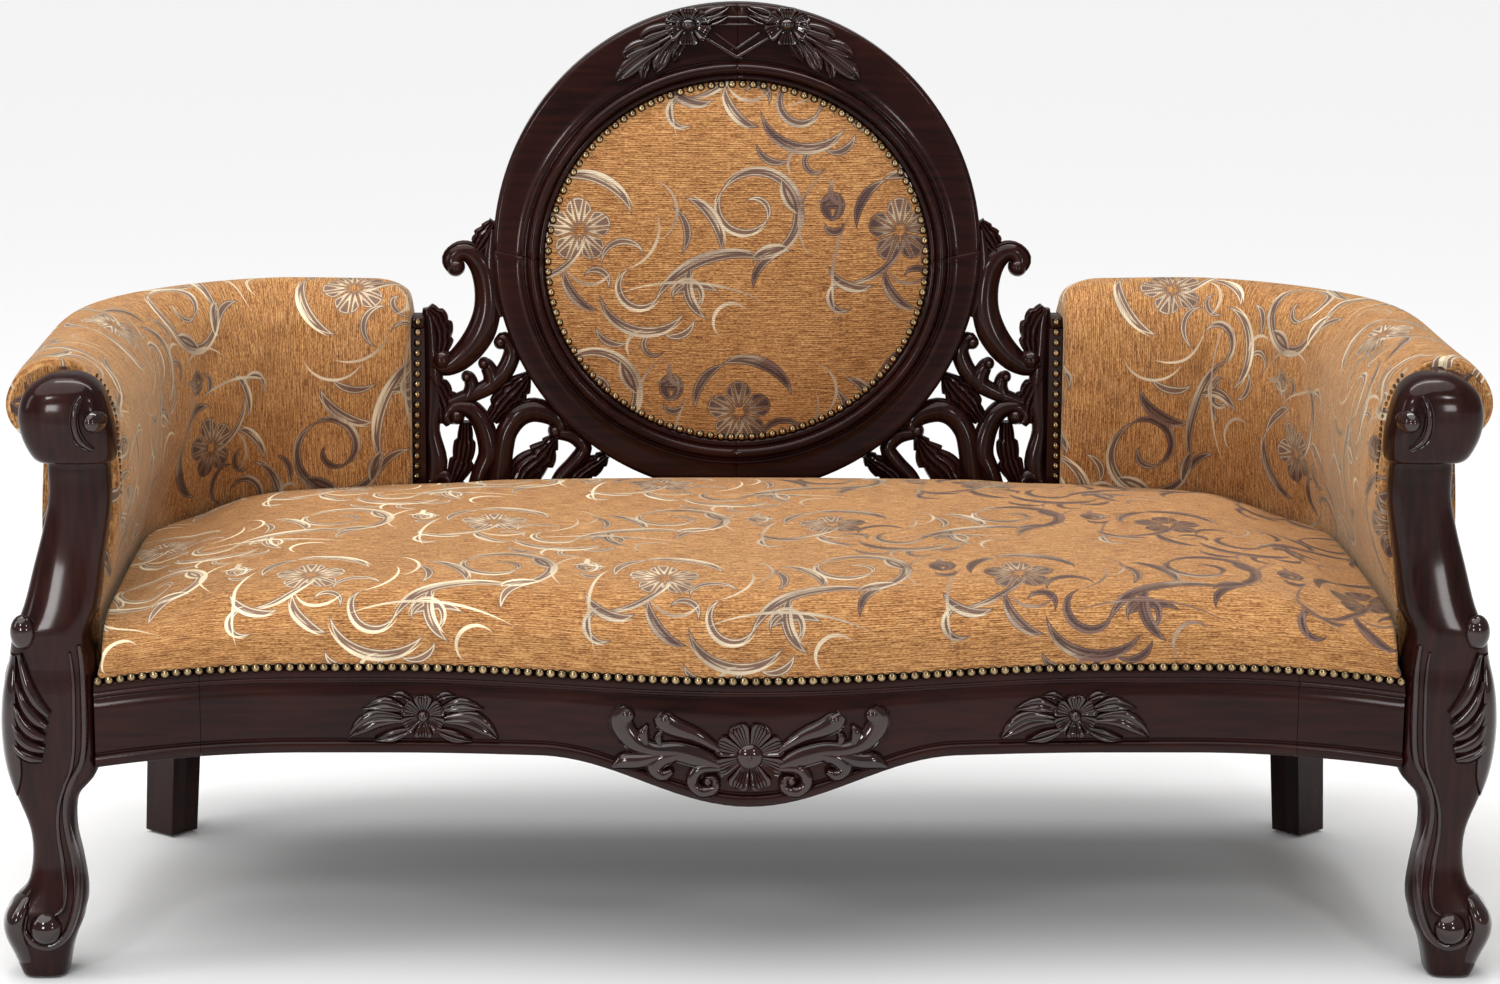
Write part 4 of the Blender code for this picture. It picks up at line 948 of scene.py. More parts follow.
def wing_skin():
    """The padded side of the section, from the seat up over the roll, as outward and height."""
    inner = [(-WING_SEAT_DEPTH, WING_FLOOR), (-WING_SEAT_DEPTH, SEAT_TOP - 0.05),
             (-0.040, SEAT_TOP), (-0.054, SEAT_TOP + 0.05), (-WING_BELLY, SEAT_TOP + 0.10),
             (-WING_BELLY, WING_TOP - 0.105), (-0.0585, WING_TOP - 0.066), (-0.046, WING_TOP - 0.032),
             (-0.023, WING_TOP - 0.008), (0.0, WING_TOP)]
    outer = [(0.45 * WING_ROLL, WING_TOP - 0.004), (0.82 * WING_ROLL, WING_TOP - 0.022),
             (WING_ROLL, WING_TOP - 0.050), (0.93 * WING_ROLL, WING_TOP - 0.076),
             (0.66 * WING_ROLL, WING_UNDER)]
    return smooth_run(inner + outer, 3)


def wing_section():
    pocket = ARM_RAIL_HIGH.z + CLEAR
    ends = [(WING_POCKET + CLEAR, WING_UNDER - WING_TUCK), (WING_POCKET + CLEAR, pocket - 0.02),
            (WING_POCKET, pocket), (0.0, pocket), (-WING_POCKET, pocket)]
    inside = [(-WING_POCKET, pocket - (pocket - WING_FLOOR) * k / POCKET_STEPS)
              for k in range(1, POCKET_STEPS + 1)]
    return wing_skin() + ends + inside + [(-WING_SEAT_DEPTH, WING_FLOOR)]


print("points in a wing's section:", len(wing_section()))

# %% Along the wings
WING_COLUMNS = 84
WING_EVEN = 0.35
WING_FRONT_ROUND = 0.014
WING_END_ROUND = 0.050
WING_END_SINK = 0.45


def wing_point(s, out, height):
    front = 0.5 * (1 - (s - WING_START) / WING_FRONT_ROUND)
    end = min(max(front, 1 - (WING_END - s) / WING_END_ROUND, 0.0), 1.0)
    drawn = 1 - math.sqrt(1 - end * end)
    out += max(0.0, -out - WING_SEAT_DEPTH) * drawn
    height -= WING_END_SINK * max(0.0, height - ARM_RAIL_HIGH.z) * drawn
    x, y = on_path(s, out)
    return Vector((x, y, height))


def wing_stops():
    """Places along the wing, closer together where its ends are rounded."""
    return [WING_START + (WING_END - WING_START) * (crowded(k, WING_COLUMNS, WING_EVEN) + 1) / 2
            for k in range(WING_COLUMNS + 1)]


def wing_out(point):
    """How far outside the frame's line a point lies."""
    x, y = abs(point.x), point.y
    if y < CORNER_Y:
        return x - SIDE_X
    if x < CORNER_X:
        return y - BACK_Y
    return math.hypot(x - CORNER_X, y - CORNER_Y) - CORNER_RADIUS


print("stops along a wing:", len(wing_stops()))

# %% Covers of the wings
WING_SWELL = 0.006
WING_CLOTH_UP = 0.28
WING_CLOTH_ALONG = {"left": 0.10, "right": 0.25}
HELD_UNDER_SEAT = 0.02
HELD_AT_STILE = 0.004
HELD_TOUCH = 0.001


def wing_is_held(point):
    """Below the seat, against the frame and near the stile the cover can't move."""
    if point.z < SEAT_TOP - HELD_UNDER_SEAT or abs(point.x) < STILE_LOW.x + STILE_SHOW + HELD_AT_STILE:
        return True
    return point.z < ARM_RAIL_HIGH.z + HELD_TOUCH and wing_out(point) > -WING_POCKET - HELD_TOUCH


def wing_cover(side, side_name):
    section = wing_section()
    stops = wing_stops()
    lengths = run_length([(out, height, 0) for out, height in section])

    def flat(i, j):
        return WING_CLOTH_UP - lengths[j], side * stops[i] + WING_CLOTH_ALONG[side_name]

    bm = placed_grid(WING_COLUMNS, len(section) - 1,
                     lambda i, j: wing_point(stops[i], *section[j]), flat)
    bmesh.ops.scale(bm, vec=(side, 1, 1), verts=bm.verts)
    close_up(bm)
    split_ends(bm)
    wing = make_piece("wing_upholstery_" + side_name, bm, BROCADE,
                      ["wing_pad_" + side_name], 80)
    stuff(wing, wing_is_held, WING_SWELL)
    subdivide(wing)


for side, side_name in SIDES:
    wing_cover(side, side_name)
print("wings covered")

# %% [markdown]
# The cameo is a domed oval pad held by the ring, with a flatter padded panel behind it. A square
# grid squeezed into an oval keeps its threads even, with no bunching of faces at a centre point.

# %% Cameo pads
CAMEO_COLUMNS = 48
CAMEO_CROWN = 0.032
CAMEO_BACK_CROWN = 0.012
PAD_RIM = 0.012
PAD_SINK = 0.0015
DOME_POWER = 2.4
DOME_FALL = 0.8
CAMEO_CLOTH = (0.105, 0.10)
CAMEO_SWELL = 0.005
CAMEO_HELD = 0.985


def oval_place(i, j):
    """A spot of the oval, and how far it is from the middle, from nothing to one."""
    a = 2 * i / CAMEO_COLUMNS - 1
    b = 2 * j / CAMEO_COLUMNS - 1
    across = a * math.sqrt(1 - b * b / 2)
    up = b * math.sqrt(1 - a * a / 2)
    return across, up, min(math.hypot(across, up), 1.0)


def cameo_cover(name, facing, crown, stands_for):
    face = RING_THICKNESS / 2 - PAD_SINK
    wide, tall = OVAL_WIDE - CLEAR, OVAL_TALL - CLEAR

    def place(i, j):
        across, up, far = oval_place(i, j)
        lift = face + crown * max(1 - far ** DOME_POWER, 0.0) ** DOME_FALL
        return reclined(across * wide, OVAL_Z + up * tall, facing * lift)

    def flat(i, j):
        across, up = oval_place(i, j)[:2]
        return across * wide + CAMEO_CLOTH[0], up * tall + CAMEO_CLOTH[1]

    bm = placed_grid(CAMEO_COLUMNS, CAMEO_COLUMNS, place, flat)
    rim = [edge for edge in bm.edges if edge.is_boundary]
    for deep in (0.1 * PAD_RIM, PAD_RIM):
        drawn = bmesh.ops.extrude_edge_only(bm, edges=rim)["geom"]
        back = [part for part in drawn if isinstance(part, bmesh.types.BMVert)]
        rim = [part for part in drawn if isinstance(part, bmesh.types.BMEdge) and part.is_boundary]
        bmesh.ops.translate(bm, vec=(0, facing * deep, 0), verts=back)
    close_up(bm)
    split_ends(bm)
    pad = make_piece(name, bm, BROCADE, stands_for, 80)
    stuff(pad, lambda p: math.hypot(p.x / wide, (p.z - OVAL_Z) / tall) > CAMEO_HELD, CAMEO_SWELL)
    subdivide(pad)


cameo_cover("cameo_upholstery", 1, CAMEO_CROWN, ["cameo_pad"])
cameo_cover("cameo_back_upholstery", -1, CAMEO_BACK_CROWN, ["cameo_back_pad"])
print("cameo pads %.3f by %.3f m" % (2 * OVAL_WIDE, 2 * OVAL_TALL))

# %% [markdown]
# Behind and under the padding the cover is only stretched cloth: one panel outside each wing, from
# under the roll down to the seat rail, and thin black cloth that keeps dust out of the seat.

# %% Outside covers
COVER_COLUMNS = 60
COVER_ROWS = 14
COVER_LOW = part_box("outside_cover_right")[0].z
COVER_OUT = 0.0226
COVER_BELLY = 0.006
COVER_BELLY_LOW = 1.6
COVER_RETURN = 0.018
COVER_STOP = 0.012
COVER_MEASURES = 40
CLOTH_THICK = 0.0012


def cover_point(s, share, turned=0.0):
    height = COVER_LOW + (ARM_RAIL_LOW.z - CLEAR - COVER_LOW) * share
    belly = COVER_BELLY * math.sin(math.pi * share ** COVER_BELLY_LOW)
    x, y = on_path(s, COVER_OUT + belly - turned)
    return Vector((x, y, height))


def outside_cover(side, side_name):
    start, end = WING_START, WING_END - COVER_STOP
    tall = ARM_RAIL_LOW.z - COVER_LOW
    stations = [(start, COVER_RETURN)]
    for k in range(COVER_COLUMNS):
        stations.append((start + (end - start) * k / (COVER_COLUMNS - 1), 0.0))

    def place(i, j):
        s, turned = stations[i]
        point = cover_point(s, j / COVER_ROWS, turned)
        return Vector((side * point.x, point.y, point.z))

    def flat(i, j):
        s, turned = stations[i]
        return tall * j / COVER_ROWS, side * (s - turned)

    bm = placed_grid(COVER_COLUMNS, COVER_ROWS, place, flat)
    bmesh.ops.recalc_face_normals(bm, faces=bm.faces)
    if sum(face.normal.x for face in bm.faces) * side < 0:
        bmesh.ops.reverse_faces(bm, faces=bm.faces)
    bmesh.ops.solidify(bm, geom=bm.faces, thickness=CLOTH_THICK)
    cover = make_piece("outside_cover_cloth_" + side_name, bm, BROCADE,
                       ["outside_cover_" + side_name])
    around = run_length([cover_point(start + (end - start) * i / COVER_MEASURES, 0.5)
                         for i in range(COVER_MEASURES + 1)])[-1]
    print("outside cover, cut %.3f by %.3f m" % (around + COVER_RETURN, tall))


for side, side_name in SIDES:
    outside_cover(side, side_name)

# %% Dust cover
DUST_COLUMNS = 48
DUST_ROWS = 20
DUST_SAG = 0.010


def dust_cover():
    low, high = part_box("dust_cover")

    def side_limit(y):
        """Half width of the cloth at a depth, cut round at the back corners."""
        over = y - CORNER_Y
        radius = high.y - CORNER_Y
        if over <= 0:
            return high.x
        return high.x - radius + math.sqrt(max(radius ** 2 - over ** 2, 0.0))

    def place(i, j):
        share = 2 * i / DUST_COLUMNS - 1
        y = low.y + (high.y - low.y) * math.sin(j / DUST_ROWS * math.pi / 2)
        sag = DUST_SAG * (1 - share ** 2) * math.sin(math.pi * j / DUST_ROWS)
        return Vector((side_limit(y) * share, y, low.z + CLOTH_THICK - sag))

    bm = placed_grid(DUST_COLUMNS, DUST_ROWS, place)
    area = sum(face.calc_area() for face in bm.faces)
    bmesh.ops.recalc_face_normals(bm, faces=bm.faces)
    if bm.faces[0].normal.z > 0:
        bmesh.ops.reverse_faces(bm, faces=bm.faces)
    bmesh.ops.solidify(bm, geom=bm.faces, thickness=-CLOTH_THICK)
    cloth = make_piece("dust_cover_cloth", bm, DUST_CLOTH, ["dust_cover"])
    print("dust cover, %.3f square metres" % area)


dust_cover()

# %% [markdown]
# Brass nails hold and finish every edge of the cover. Each head is half of a flattened sphere; one
# dome is made once and copied along a line, turned so that its crown points away from the wood.

# %% Nail heads
NAIL_HEIGHT = 0.62
NAIL_SINK = 0.0008
NAIL_RIM = -0.05


def nail_head():
    bm = bmesh.new()
    bmesh.ops.create_uvsphere(bm, u_segments=12, v_segments=8, radius=1.0)
    whole = list(bm.verts) + list(bm.edges) + list(bm.faces)
    bmesh.ops.bisect_plane(bm, geom=whole, plane_co=(0, 0, NAIL_RIM), plane_no=(0, 0, 1),
                           clear_inner=True)
    bmesh.ops.scale(bm, vec=(1, 1, NAIL_HEIGHT), verts=bm.verts)
    close_up(bm)
    head = bpy.data.meshes.new("nail_head")
    bm.to_mesh(head)
    bm.free()
    return head


def nail_row(name, places, radius, stands_for=()):
    """places lists a point on the surface and the way that the nail faces."""
    head = nail_head()
    bm = bmesh.new()
    crown = bm.verts.layers.float.new("crown")
    for point, facing in places:
        before = len(bm.verts)
        bm.from_mesh(head)
        bm.verts.ensure_lookup_table()
        for vert in bm.verts[before:]:
            vert[crown] = vert.co.z / NAIL_HEIGHT
        turn = Vector(facing).to_track_quat("Z", "Y").to_matrix().to_4x4()
        spot = Matrix.Translation(Vector(point) - Vector(facing) * NAIL_SINK)
        bmesh.ops.transform(bm, matrix=spot @ turn @ Matrix.Scale(radius, 4), verts=bm.verts[before:])
    bpy.data.meshes.remove(head)
    print(name, len(places), "nails")
    return make_piece(name, bm, BRASS, stands_for, 60)


def even_stops(points, count):
    """Places spread evenly along a line of points."""
    lengths = run_length(points)
    stops = []
    for k in range(count):
        want = lengths[-1] * k / (count - 1)
        i = next(i for i in range(1, len(points)) if lengths[i] >= want - 1e-9)
        share = (want - lengths[i - 1]) / (lengths[i] - lengths[i - 1])
        stops.append(Vector(points[i - 1]).lerp(Vector(points[i]), share))
    return stops


print("nail heads ready")

# %% [markdown]
# The seat's nails stand close together along the top of the rail, the cameo's follow the oval, and
# one row runs up each stile, under a small block that caps it. Small nails close the front edge of
# each arm.

# %% Nails of the seat and the cameo
SEAT_NAILS = 116
SEAT_NAIL_RADIUS = 0.0060
SEAT_NAIL_RISE = 0.0035
SEAT_NAIL_TILT = 0.12
CAMEO_NAILS = 110
CAMEO_NAIL_RADIUS = 0.0054
CAMEO_NAIL_RISE = 0.001
NAIL_INSET = 0.004
SEAT_NAIL_LINE = 200
CAMEO_NAIL_LINE = 240
SLOPE_STEP = 0.001


def rail_facing(x):
    """The way a nail looks that stands square to the bowed rail, tilted slightly up."""
    slope = (rail_front(x + SLOPE_STEP) - rail_front(x - SLOPE_STEP)) / (2 * SLOPE_STEP)
    return Vector((slope, -1, SEAT_NAIL_TILT)).normalized()


def seat_nails():
    half = SEAT_HALF - NAIL_INSET
    line = []
    for k in range(SEAT_NAIL_LINE + 1):
        x = half * (2 * k / SEAT_NAIL_LINE - 1)
        line.append((x, rail_front(x) - CLEAR, rail_top(x) + SEAT_NAIL_RISE))
    places = [(point, rail_facing(point.x)) for point in even_stops(line, SEAT_NAILS)]
    nail_row("seat_nails", places, SEAT_NAIL_RADIUS, ["seat_nail_band"])


def cameo_nails():
    line = []
    wide, tall = OVAL_WIDE - NAIL_INSET, OVAL_TALL - NAIL_INSET
    for k in range(CAMEO_NAIL_LINE + 1):
        turn = 2 * math.pi * k / CAMEO_NAIL_LINE
        line.append(reclined(wide * math.cos(turn), OVAL_Z + tall * math.sin(turn),
                             RING_THICKNESS / 2 + CAMEO_NAIL_RISE))
    forward = Vector((0, -1, math.tan(CAMEO_LEAN))).normalized()
    places = [(point, forward) for point in even_stops(line, CAMEO_NAILS + 1)[:-1]]
    nail_row("cameo_nails", places, CAMEO_NAIL_RADIUS, ["cameo_nail_band"])


seat_nails()
cameo_nails()

# %% Stile caps and nails of the stiles and arms
STILE_CAP = 0.014
STILE_MIDDLE = STILE_LOW.x + STILE_SHOW / 2
CAP_BEVEL = 0.002
STILE_NAILS = 16
STILE_NAIL_Y = BACK_Y - 0.020
STILE_NAIL_LEAN = 0.004
STILE_NAIL_END = 0.006
ARM_NAILS = 36
ARM_NAIL_RADIUS = 0.0027
ARM_NAIL_SET_BACK = 0.010
ARM_NAIL_TURN = -0.5
ARM_NAIL_LOW = SEAT_TOP - 0.03
ARM_NAIL_HIGH = WING_TOP - 0.02


def stile_nails(side, side_name):
    line = [(side * (STILE_MIDDLE + STILE_NAIL_LEAN), STILE_NAIL_Y, SEAT_TOP + STILE_NAIL_END),
            (side * STILE_MIDDLE, STILE_NAIL_Y, STILE_HIGH.z + STILE_CAP - STILE_NAIL_END)]
    places = [(point, Vector((0, -1, 0))) for point in even_stops(line, STILE_NAILS)]
    nail_row("stile_nails_" + side_name, places, CAMEO_NAIL_RADIUS, ["wing_nail_band_" + side_name])


def stile_cap(side, side_name):
    """A block that ends the stile level with the wing."""
    bm = bmesh.new()
    bmesh.ops.create_cube(bm, size=1.0)
    wide, deep = STILE_SHOW - 2 * CLEAR, STILE_HIGH.y - STILE_LOW.y
    bmesh.ops.scale(bm, vec=(wide, deep, STILE_CAP), verts=bm.verts)
    bmesh.ops.bevel(bm, geom=bm.edges, offset=CAP_BEVEL, segments=3, profile=0.5, affect="EDGES",
                    material=-1)
    middle = Vector((side * STILE_MIDDLE, BACK_Y, STILE_HIGH.z + STILE_CAP / 2))
    bmesh.ops.translate(bm, vec=middle, verts=bm.verts)
    make_piece("stile_cap_" + side_name, bm, WOOD_UPRIGHT)


def arm_nails(side, side_name):
    edge = [(out, height) for out, height in wing_skin()
            if out < 0 and ARM_NAIL_LOW < height < ARM_NAIL_HIGH]
    line = [wing_point(WING_START + ARM_NAIL_SET_BACK, *spot) for spot in edge]
    facing = Vector((-side, ARM_NAIL_TURN, 0)).normalized()
    places = [(Vector((side * point.x, point.y, point.z)), facing)
              for point in even_stops(line, ARM_NAILS)]
    nail_row("arm_nails_" + side_name, places, ARM_NAIL_RADIUS)


for dress in (stile_cap, stile_nails, arm_nails):
    for side, side_name in SIDES:
        dress(side, side_name)

# %% [markdown]
# The wooden forms come next. A turner or carver thinks in sections: the ring is one moulding bent
# round an oval, the rail one moulding along a curve. The same closed section, set at many places,
# makes both; only the ends have to be closed.

# %% Forms with one section
def tube(rings):
    """A closed form through rings of points, each ring being a closed section."""
    sides = len(rings[0])
    bm = placed_grid(len(rings) - 1, sides, lambda i, j: rings[i][j % sides])
    return close_up(bm)


def gather(parts):
    """One bmesh from many."""
    whole = bmesh.new()
    for part in parts:
        mesh = bpy.data.meshes.new("part")
        part.to_mesh(mesh)
        part.free()
        whole.from_mesh(mesh)
        bpy.data.meshes.remove(mesh)
    return whole


def bead(start, end, height, count=5):
    """Half round of a moulding: places across it and how far each stands out."""
    spots = []
    for k in range(count + 1):
        turn = math.pi * k / count
        spots.append((start + (end - start) * (1 - math.cos(turn)) / 2, height * math.sin(turn)))
    return spots


print("section helpers ready")

# %% [markdown]
# The ring is built from four quarters, joined at the top, the bottom and the sides. Its moulding
# lies next to the cameo: a small step, a broad half round and a groove, then the flat outer band.

# %% Cameo ring
RING_STEPS = 40
RING_FACE = RING_THICKNESS / 2
JOINT_GAP = 0.0012
JOINT_DIP = 0.0007
RING_FLAT = 0.032
RING_FLAT_MARGIN = 0.040
RING_ROUND = 0.006
RING_ROUND_STEPS = 5
RING_CHAMFER = 0.004


def ring_front(width):
    """Front of the ring from the cameo's edge outwards, as distance and height over the face."""
    front = [(0.0, -0.002), (0.001, 0.0), (0.004, 0.0016), (0.007, 0.0018), (0.0085, 0.0005)]
    front += bead(0.009, 0.0235, 0.0095, 8)
    front += [(0.0245, -0.0010), (0.0262, -0.0012), (0.0275, 0.0014), (0.0300, 0.0018), (RING_FLAT, 0.0)]
    for share in (0.25, 0.5, 0.75):
        front.append((RING_FLAT + (width - RING_FLAT_MARGIN) * share, 0.0))
    for k in range(RING_ROUND_STEPS + 1):
        turn = math.pi / 2 * k / RING_ROUND_STEPS
        front.append((width - RING_ROUND + RING_ROUND * math.sin(turn),
                      -RING_ROUND + RING_ROUND * math.cos(turn)))
    return front


def ring_section(turn, dip=0.0):
    edge = reclined(CAMEO_RADIUS * math.cos(turn), CAMEO_Z + CAMEO_RADIUS * math.sin(turn))
    sight = reclined(OVAL_WIDE * math.cos(turn), OVAL_Z + OVAL_TALL * math.sin(turn))
    across = edge - sight
    width = across.length
    across.normalize()
    section = []
    for out, height in ring_front(width):
        section.append(sight + across * out - Vector((0, RING_FACE + height - dip, 0)))
    back = [(width, RING_FACE - RING_CHAMFER), (width - RING_CHAMFER, RING_FACE),
            (width / 2, RING_FACE), (0, RING_FACE)]
    for out, depth in back:
        section.append(sight + across * out + Vector((0, depth, 0)))
    return section


def cameo_ring():
    for quarter, name in enumerate(("upper_right", "upper_left", "lower_left", "lower_right")):
        rings = [ring_section(math.pi / 2 * quarter, JOINT_DIP)]
        for k in range(RING_STEPS + 1):
            share = JOINT_GAP + k / RING_STEPS * (1 - 2 * JOINT_GAP)
            rings.append(ring_section(math.pi / 2 * (quarter + share)))
        rings.append(ring_section(math.pi / 2 * (quarter + 1), JOINT_DIP))
        make_piece("ring_" + name, tube(rings), WOOD_LEVEL, ["cameo_ring_" + name], 50)
    print("ring quarters made")


cameo_ring()

# %% [markdown]
# The front rail is shaped twice: bowed in plan and cut to a serpentine below. A bead under the nails
# and another along the lower edge follow the two edges, as if run with a scratch stock. The ends
# are separate blocks, glued on where the grain would otherwise be too short.

# %% Front rail
RAIL_STEPS = 90
RAIL_END_STEPS = 16
RAIL_BACK = RAIL_HIGH.y
MOULDING = 0.0195
UPPER_MOULDING = [
    (0.0, -0.003), (0.001, -0.0006), (0.004, 0.0), (0.0085, 0.0), *bead(0.009, 0.0155, 0.0032),
    (0.0165, -0.0014), (0.0180, -0.0014), (MOULDING, 0.0),
]
LOWER_MOULDING = [
    (0.0180, -0.0016), (0.0160, -0.0016), *bead(0.0150, 0.0045, 0.0036),
    (0.0035, -0.0005), (0.001, -0.002), (0.0, -0.005),
]


def rail_section(x):
    top, bottom = rail_top(x), rail_bottom(x)
    front = rail_front(x)
    low, high = bottom + MOULDING, top - MOULDING
    face = [(top - down, lift) for down, lift in UPPER_MOULDING]
    face += [(high + (low - high) * share, 0.0) for share in (0.25, 0.5, 0.75, 1.0)]
    face += [(bottom + up, lift) for up, lift in LOWER_MOULDING]
    section = [(x, front - lift, z) for z, lift in face]
    section += [(x, RAIL_BACK, bottom), (x, RAIL_BACK, (bottom + top) / 2), (x, RAIL_BACK, top)]
    return section


def rail_piece(name, start, end, steps, stands_for):
    rings = [rail_section(start + (end - start) * k / steps) for k in range(steps + 1)]
    make_piece(name, tube(rings), WOOD_LEVEL, [stands_for], 50)


joint = RAIL_JOINT_X - JOINT_GAP / 4
rail_piece("rail_middle", -joint, joint, RAIL_STEPS, "front_rail")
rail_piece("rail_block_right", joint + JOINT_GAP / 2, KNEE_X - CLEAR, RAIL_END_STEPS, "rail_end_right")
rail_piece("rail_block_left", -joint - JOINT_GAP / 2, -KNEE_X + CLEAR, RAIL_END_STEPS, "rail_end_left")
print("rail and its end blocks made")

# %% [markdown]
# Each front leg, knee and arm post is carved from one tall board. Its width and depth change all the
# way up, so it is set out as a list of levels: height, distance in from the outer limit, width, how
# far the front swells forward and how far the back steps in. Its corners are well rounded over.

# %% Levels of the front legs
LEG_SWELL = 0.014
LEG_FACE = LEG_LOW.y + LEG_SWELL
LEG_BACK = LEG_HIGH.y
GLIDE_TOP = LEG_LOW.z
KNEE_LOW = RAIL_LOW.z + RAIL_DROP
KNOB_TOP = LEG_HIGH.z
LEG_LEVELS = [
    (0.000, 0.021, 0.052, 0.003, 0.009), (0.004, 0.0195, 0.055, 0.005, 0.008),
    (0.030, 0.010, 0.070, 0.010, 0.008), (0.048, 0.003, 0.083, 0.012, 0.007),
    (0.062, 0.000, 0.092, 0.011, 0.007), (0.075, 0.003, 0.092, 0.009, 0.008),
    (0.088, 0.012, 0.086, 0.006, 0.009), (0.108, 0.029, 0.069, 0.002, 0.011),
    (0.140, 0.036, 0.057, -0.003, 0.011), (0.175, 0.034, 0.053, -0.003, 0.011),
    (0.212, 0.021, 0.070, 0.000, 0.009),
]
KNEE_LEVELS = [
    (-0.024, 0.010, 0.003), (0.025, 0.005, 0.006), (0.070, 0.008, 0.006), (0.108, 0.016, 0.002),
]
POST_LEVELS = [
    (-0.302, 0.022, 0.087, 0.006, 0.000), (-0.270, 0.035, 0.086, 0.000, 0.000),
    (-0.225, 0.047, 0.080, -0.009, 0.002), (-0.185, 0.058, 0.075, -0.014, 0.005),
    (-0.147, 0.066, 0.072, -0.017, 0.007), (-0.116, 0.066, 0.071, -0.018, 0.006),
    (-0.103, 0.065, 0.073, -0.016, 0.005), (-0.100, 0.057, 0.087, 0.003, 0.002),
    (-0.091, 0.049, 0.097, 0.009, 0.001), (-0.070, 0.040, 0.106, 0.012, 0.001),
    (-0.046, 0.037, 0.105, 0.013, 0.001), (-0.024, 0.043, 0.093, 0.010, 0.002),
    (-0.010, 0.056, 0.070, 0.002, 0.007), (-0.002, 0.071, 0.041, -0.010, 0.015),
    (0.000, 0.082, 0.018, -0.020, 0.022),
]


def leg_levels():
    """All levels from the floor up: height, outer x, width, front y and back y."""
    lower = [(h + GLIDE_TOP, inset, width, front, back) for h, inset, width, front, back in LEG_LEVELS]
    knee = [(KNEE_LOW + h, inset, HALF_WIDTH - inset - KNEE_X, front, 0.0)
            for h, inset, front in KNEE_LEVELS]
    post = [(KNOB_TOP + h, inset, width, front, back) for h, inset, width, front, back in POST_LEVELS]
    run = smooth_run(lower + knee + post, 4)
    return [(h, HALF_WIDTH - inset, width, LEG_FACE - front, LEG_BACK - back)
            for h, inset, width, front, back in run]


LEVELS = leg_levels()
print("levels of a leg:", len(LEVELS))

# %% Front legs
LEG_SIDES = 44
KNEE_POWER = 3.4
POST_POWER_FALL = 0.40
POST_START = 0.09
POST_RUN = 0.10


def squared(angle, power):
    """Cosine and sine of an angle, pushed outwards to a rounded square."""
    c, s = math.cos(angle), math.sin(angle)
    return (math.copysign(abs(c) ** (2 / power), c), math.copysign(abs(s) ** (2 / power), s))


def leg_power(height):
    """Nearly square at the knee and below, rounder up the post to the knob."""
    share = min(max((height - KNEE_LOW - POST_START) / POST_RUN, 0.0), 1.0)
    return KNEE_POWER - POST_POWER_FALL * share


def leg_ring(level):
    height, outer, width, front, back = level
    power = leg_power(height)
    ring = []
    for k in range(LEG_SIDES):
        across, depth = squared(2 * math.pi * k / LEG_SIDES, power)
        ring.append((outer - width / 2 + across * width / 2,
                     (front + back) / 2 + depth * (back - front) / 2, height))
    return ring


make_pair("carved_leg_", tube([leg_ring(level) for level in LEVELS]), WOOD_UPRIGHT, 60, "front_leg_")
print("front legs made, %.3f m tall" % (LEVELS[-1][0] - LEVELS[0][0]))

# %% [markdown]
# Carving is drawn as strokes. A stroke has a spine with a width and a height at each point, and a
# section across it: plain and round for stems, beaded for scrolls, fluted for leaves, cupped for
# petals. A section is listed for one half, as distance from the spine and height. A place function
# then lays the drawing on whatever surface it belongs to.

# %% Carved strokes
BACK_REACH = 0.92
FINEST_HALF = 0.0003


def closed_section(fronts, back):
    """A closed section: its front from right to left, then a flat back at the given depth."""
    left = [(-t, lift) for t, lift in fronts if t > 0]
    front = sorted(set(fronts + left), reverse=True)
    return front + [(-BACK_REACH, back), (0.0, back), (BACK_REACH, back)]


BROAD_FRONT = [(1.0, 0.20), (0.95, 0.58), (0.87, 0.68), (0.78, 0.56), (0.70, 0.64), (0.50, 0.84),
               (0.25, 0.97), (0.0, 1.0)]
ROUND_FRONT = [(math.cos(math.pi * k / 10), math.sin(math.pi * k / 10)) for k in range(6)]
SCROLL_FRONT = [(1.0, 0.25), (0.93, 0.72), (0.80, 0.92), (0.66, 0.86), (0.55, 0.64), (0.45, 0.80),
                (0.25, 0.96), (0.0, 1.0)]
LEAF_FRONT = [(1.0, 0.05), (0.90, 0.40), (0.74, 0.50), (0.62, 0.34), (0.48, 0.70), (0.34, 0.74),
              (0.22, 0.56), (0.08, 0.96), (0.0, 1.0)]
PETAL_FRONT = [(1.0, 0.36), (0.95, 0.78), (0.86, 0.96), (0.70, 0.92), (0.52, 0.82), (0.46, 0.66),
               (0.40, 0.80), (0.20, 0.78), (0.14, 0.62), (0.08, 0.76), (0.0, 0.75)]
VEIN_FRONT = [(1.0, 0.04), (0.92, 0.46), (0.74, 0.82), (0.52, 0.98), (0.30, 0.92), (0.12, 0.60),
              (0.0, 0.52)]
SUNK = -0.30


def stroke(points, place, fronts, back=SUNK, steps=4):
    """A carved form along points of across, up, half width and height."""
    section = closed_section(fronts, back)
    run = smooth_run(points, steps)
    rings = []
    for i, (u, v, half, height) in enumerate(run):
        before, after = run[max(i - 1, 0)], run[min(i + 1, len(run) - 1)]
        way = Vector((after[0] - before[0], after[1] - before[1])).normalized()
        half = max(half, FINEST_HALF)
        rings.append([place(u - way.y * half * t, v + way.x * half * t, lift * height)
                      for t, lift in section])
    return tube(rings)


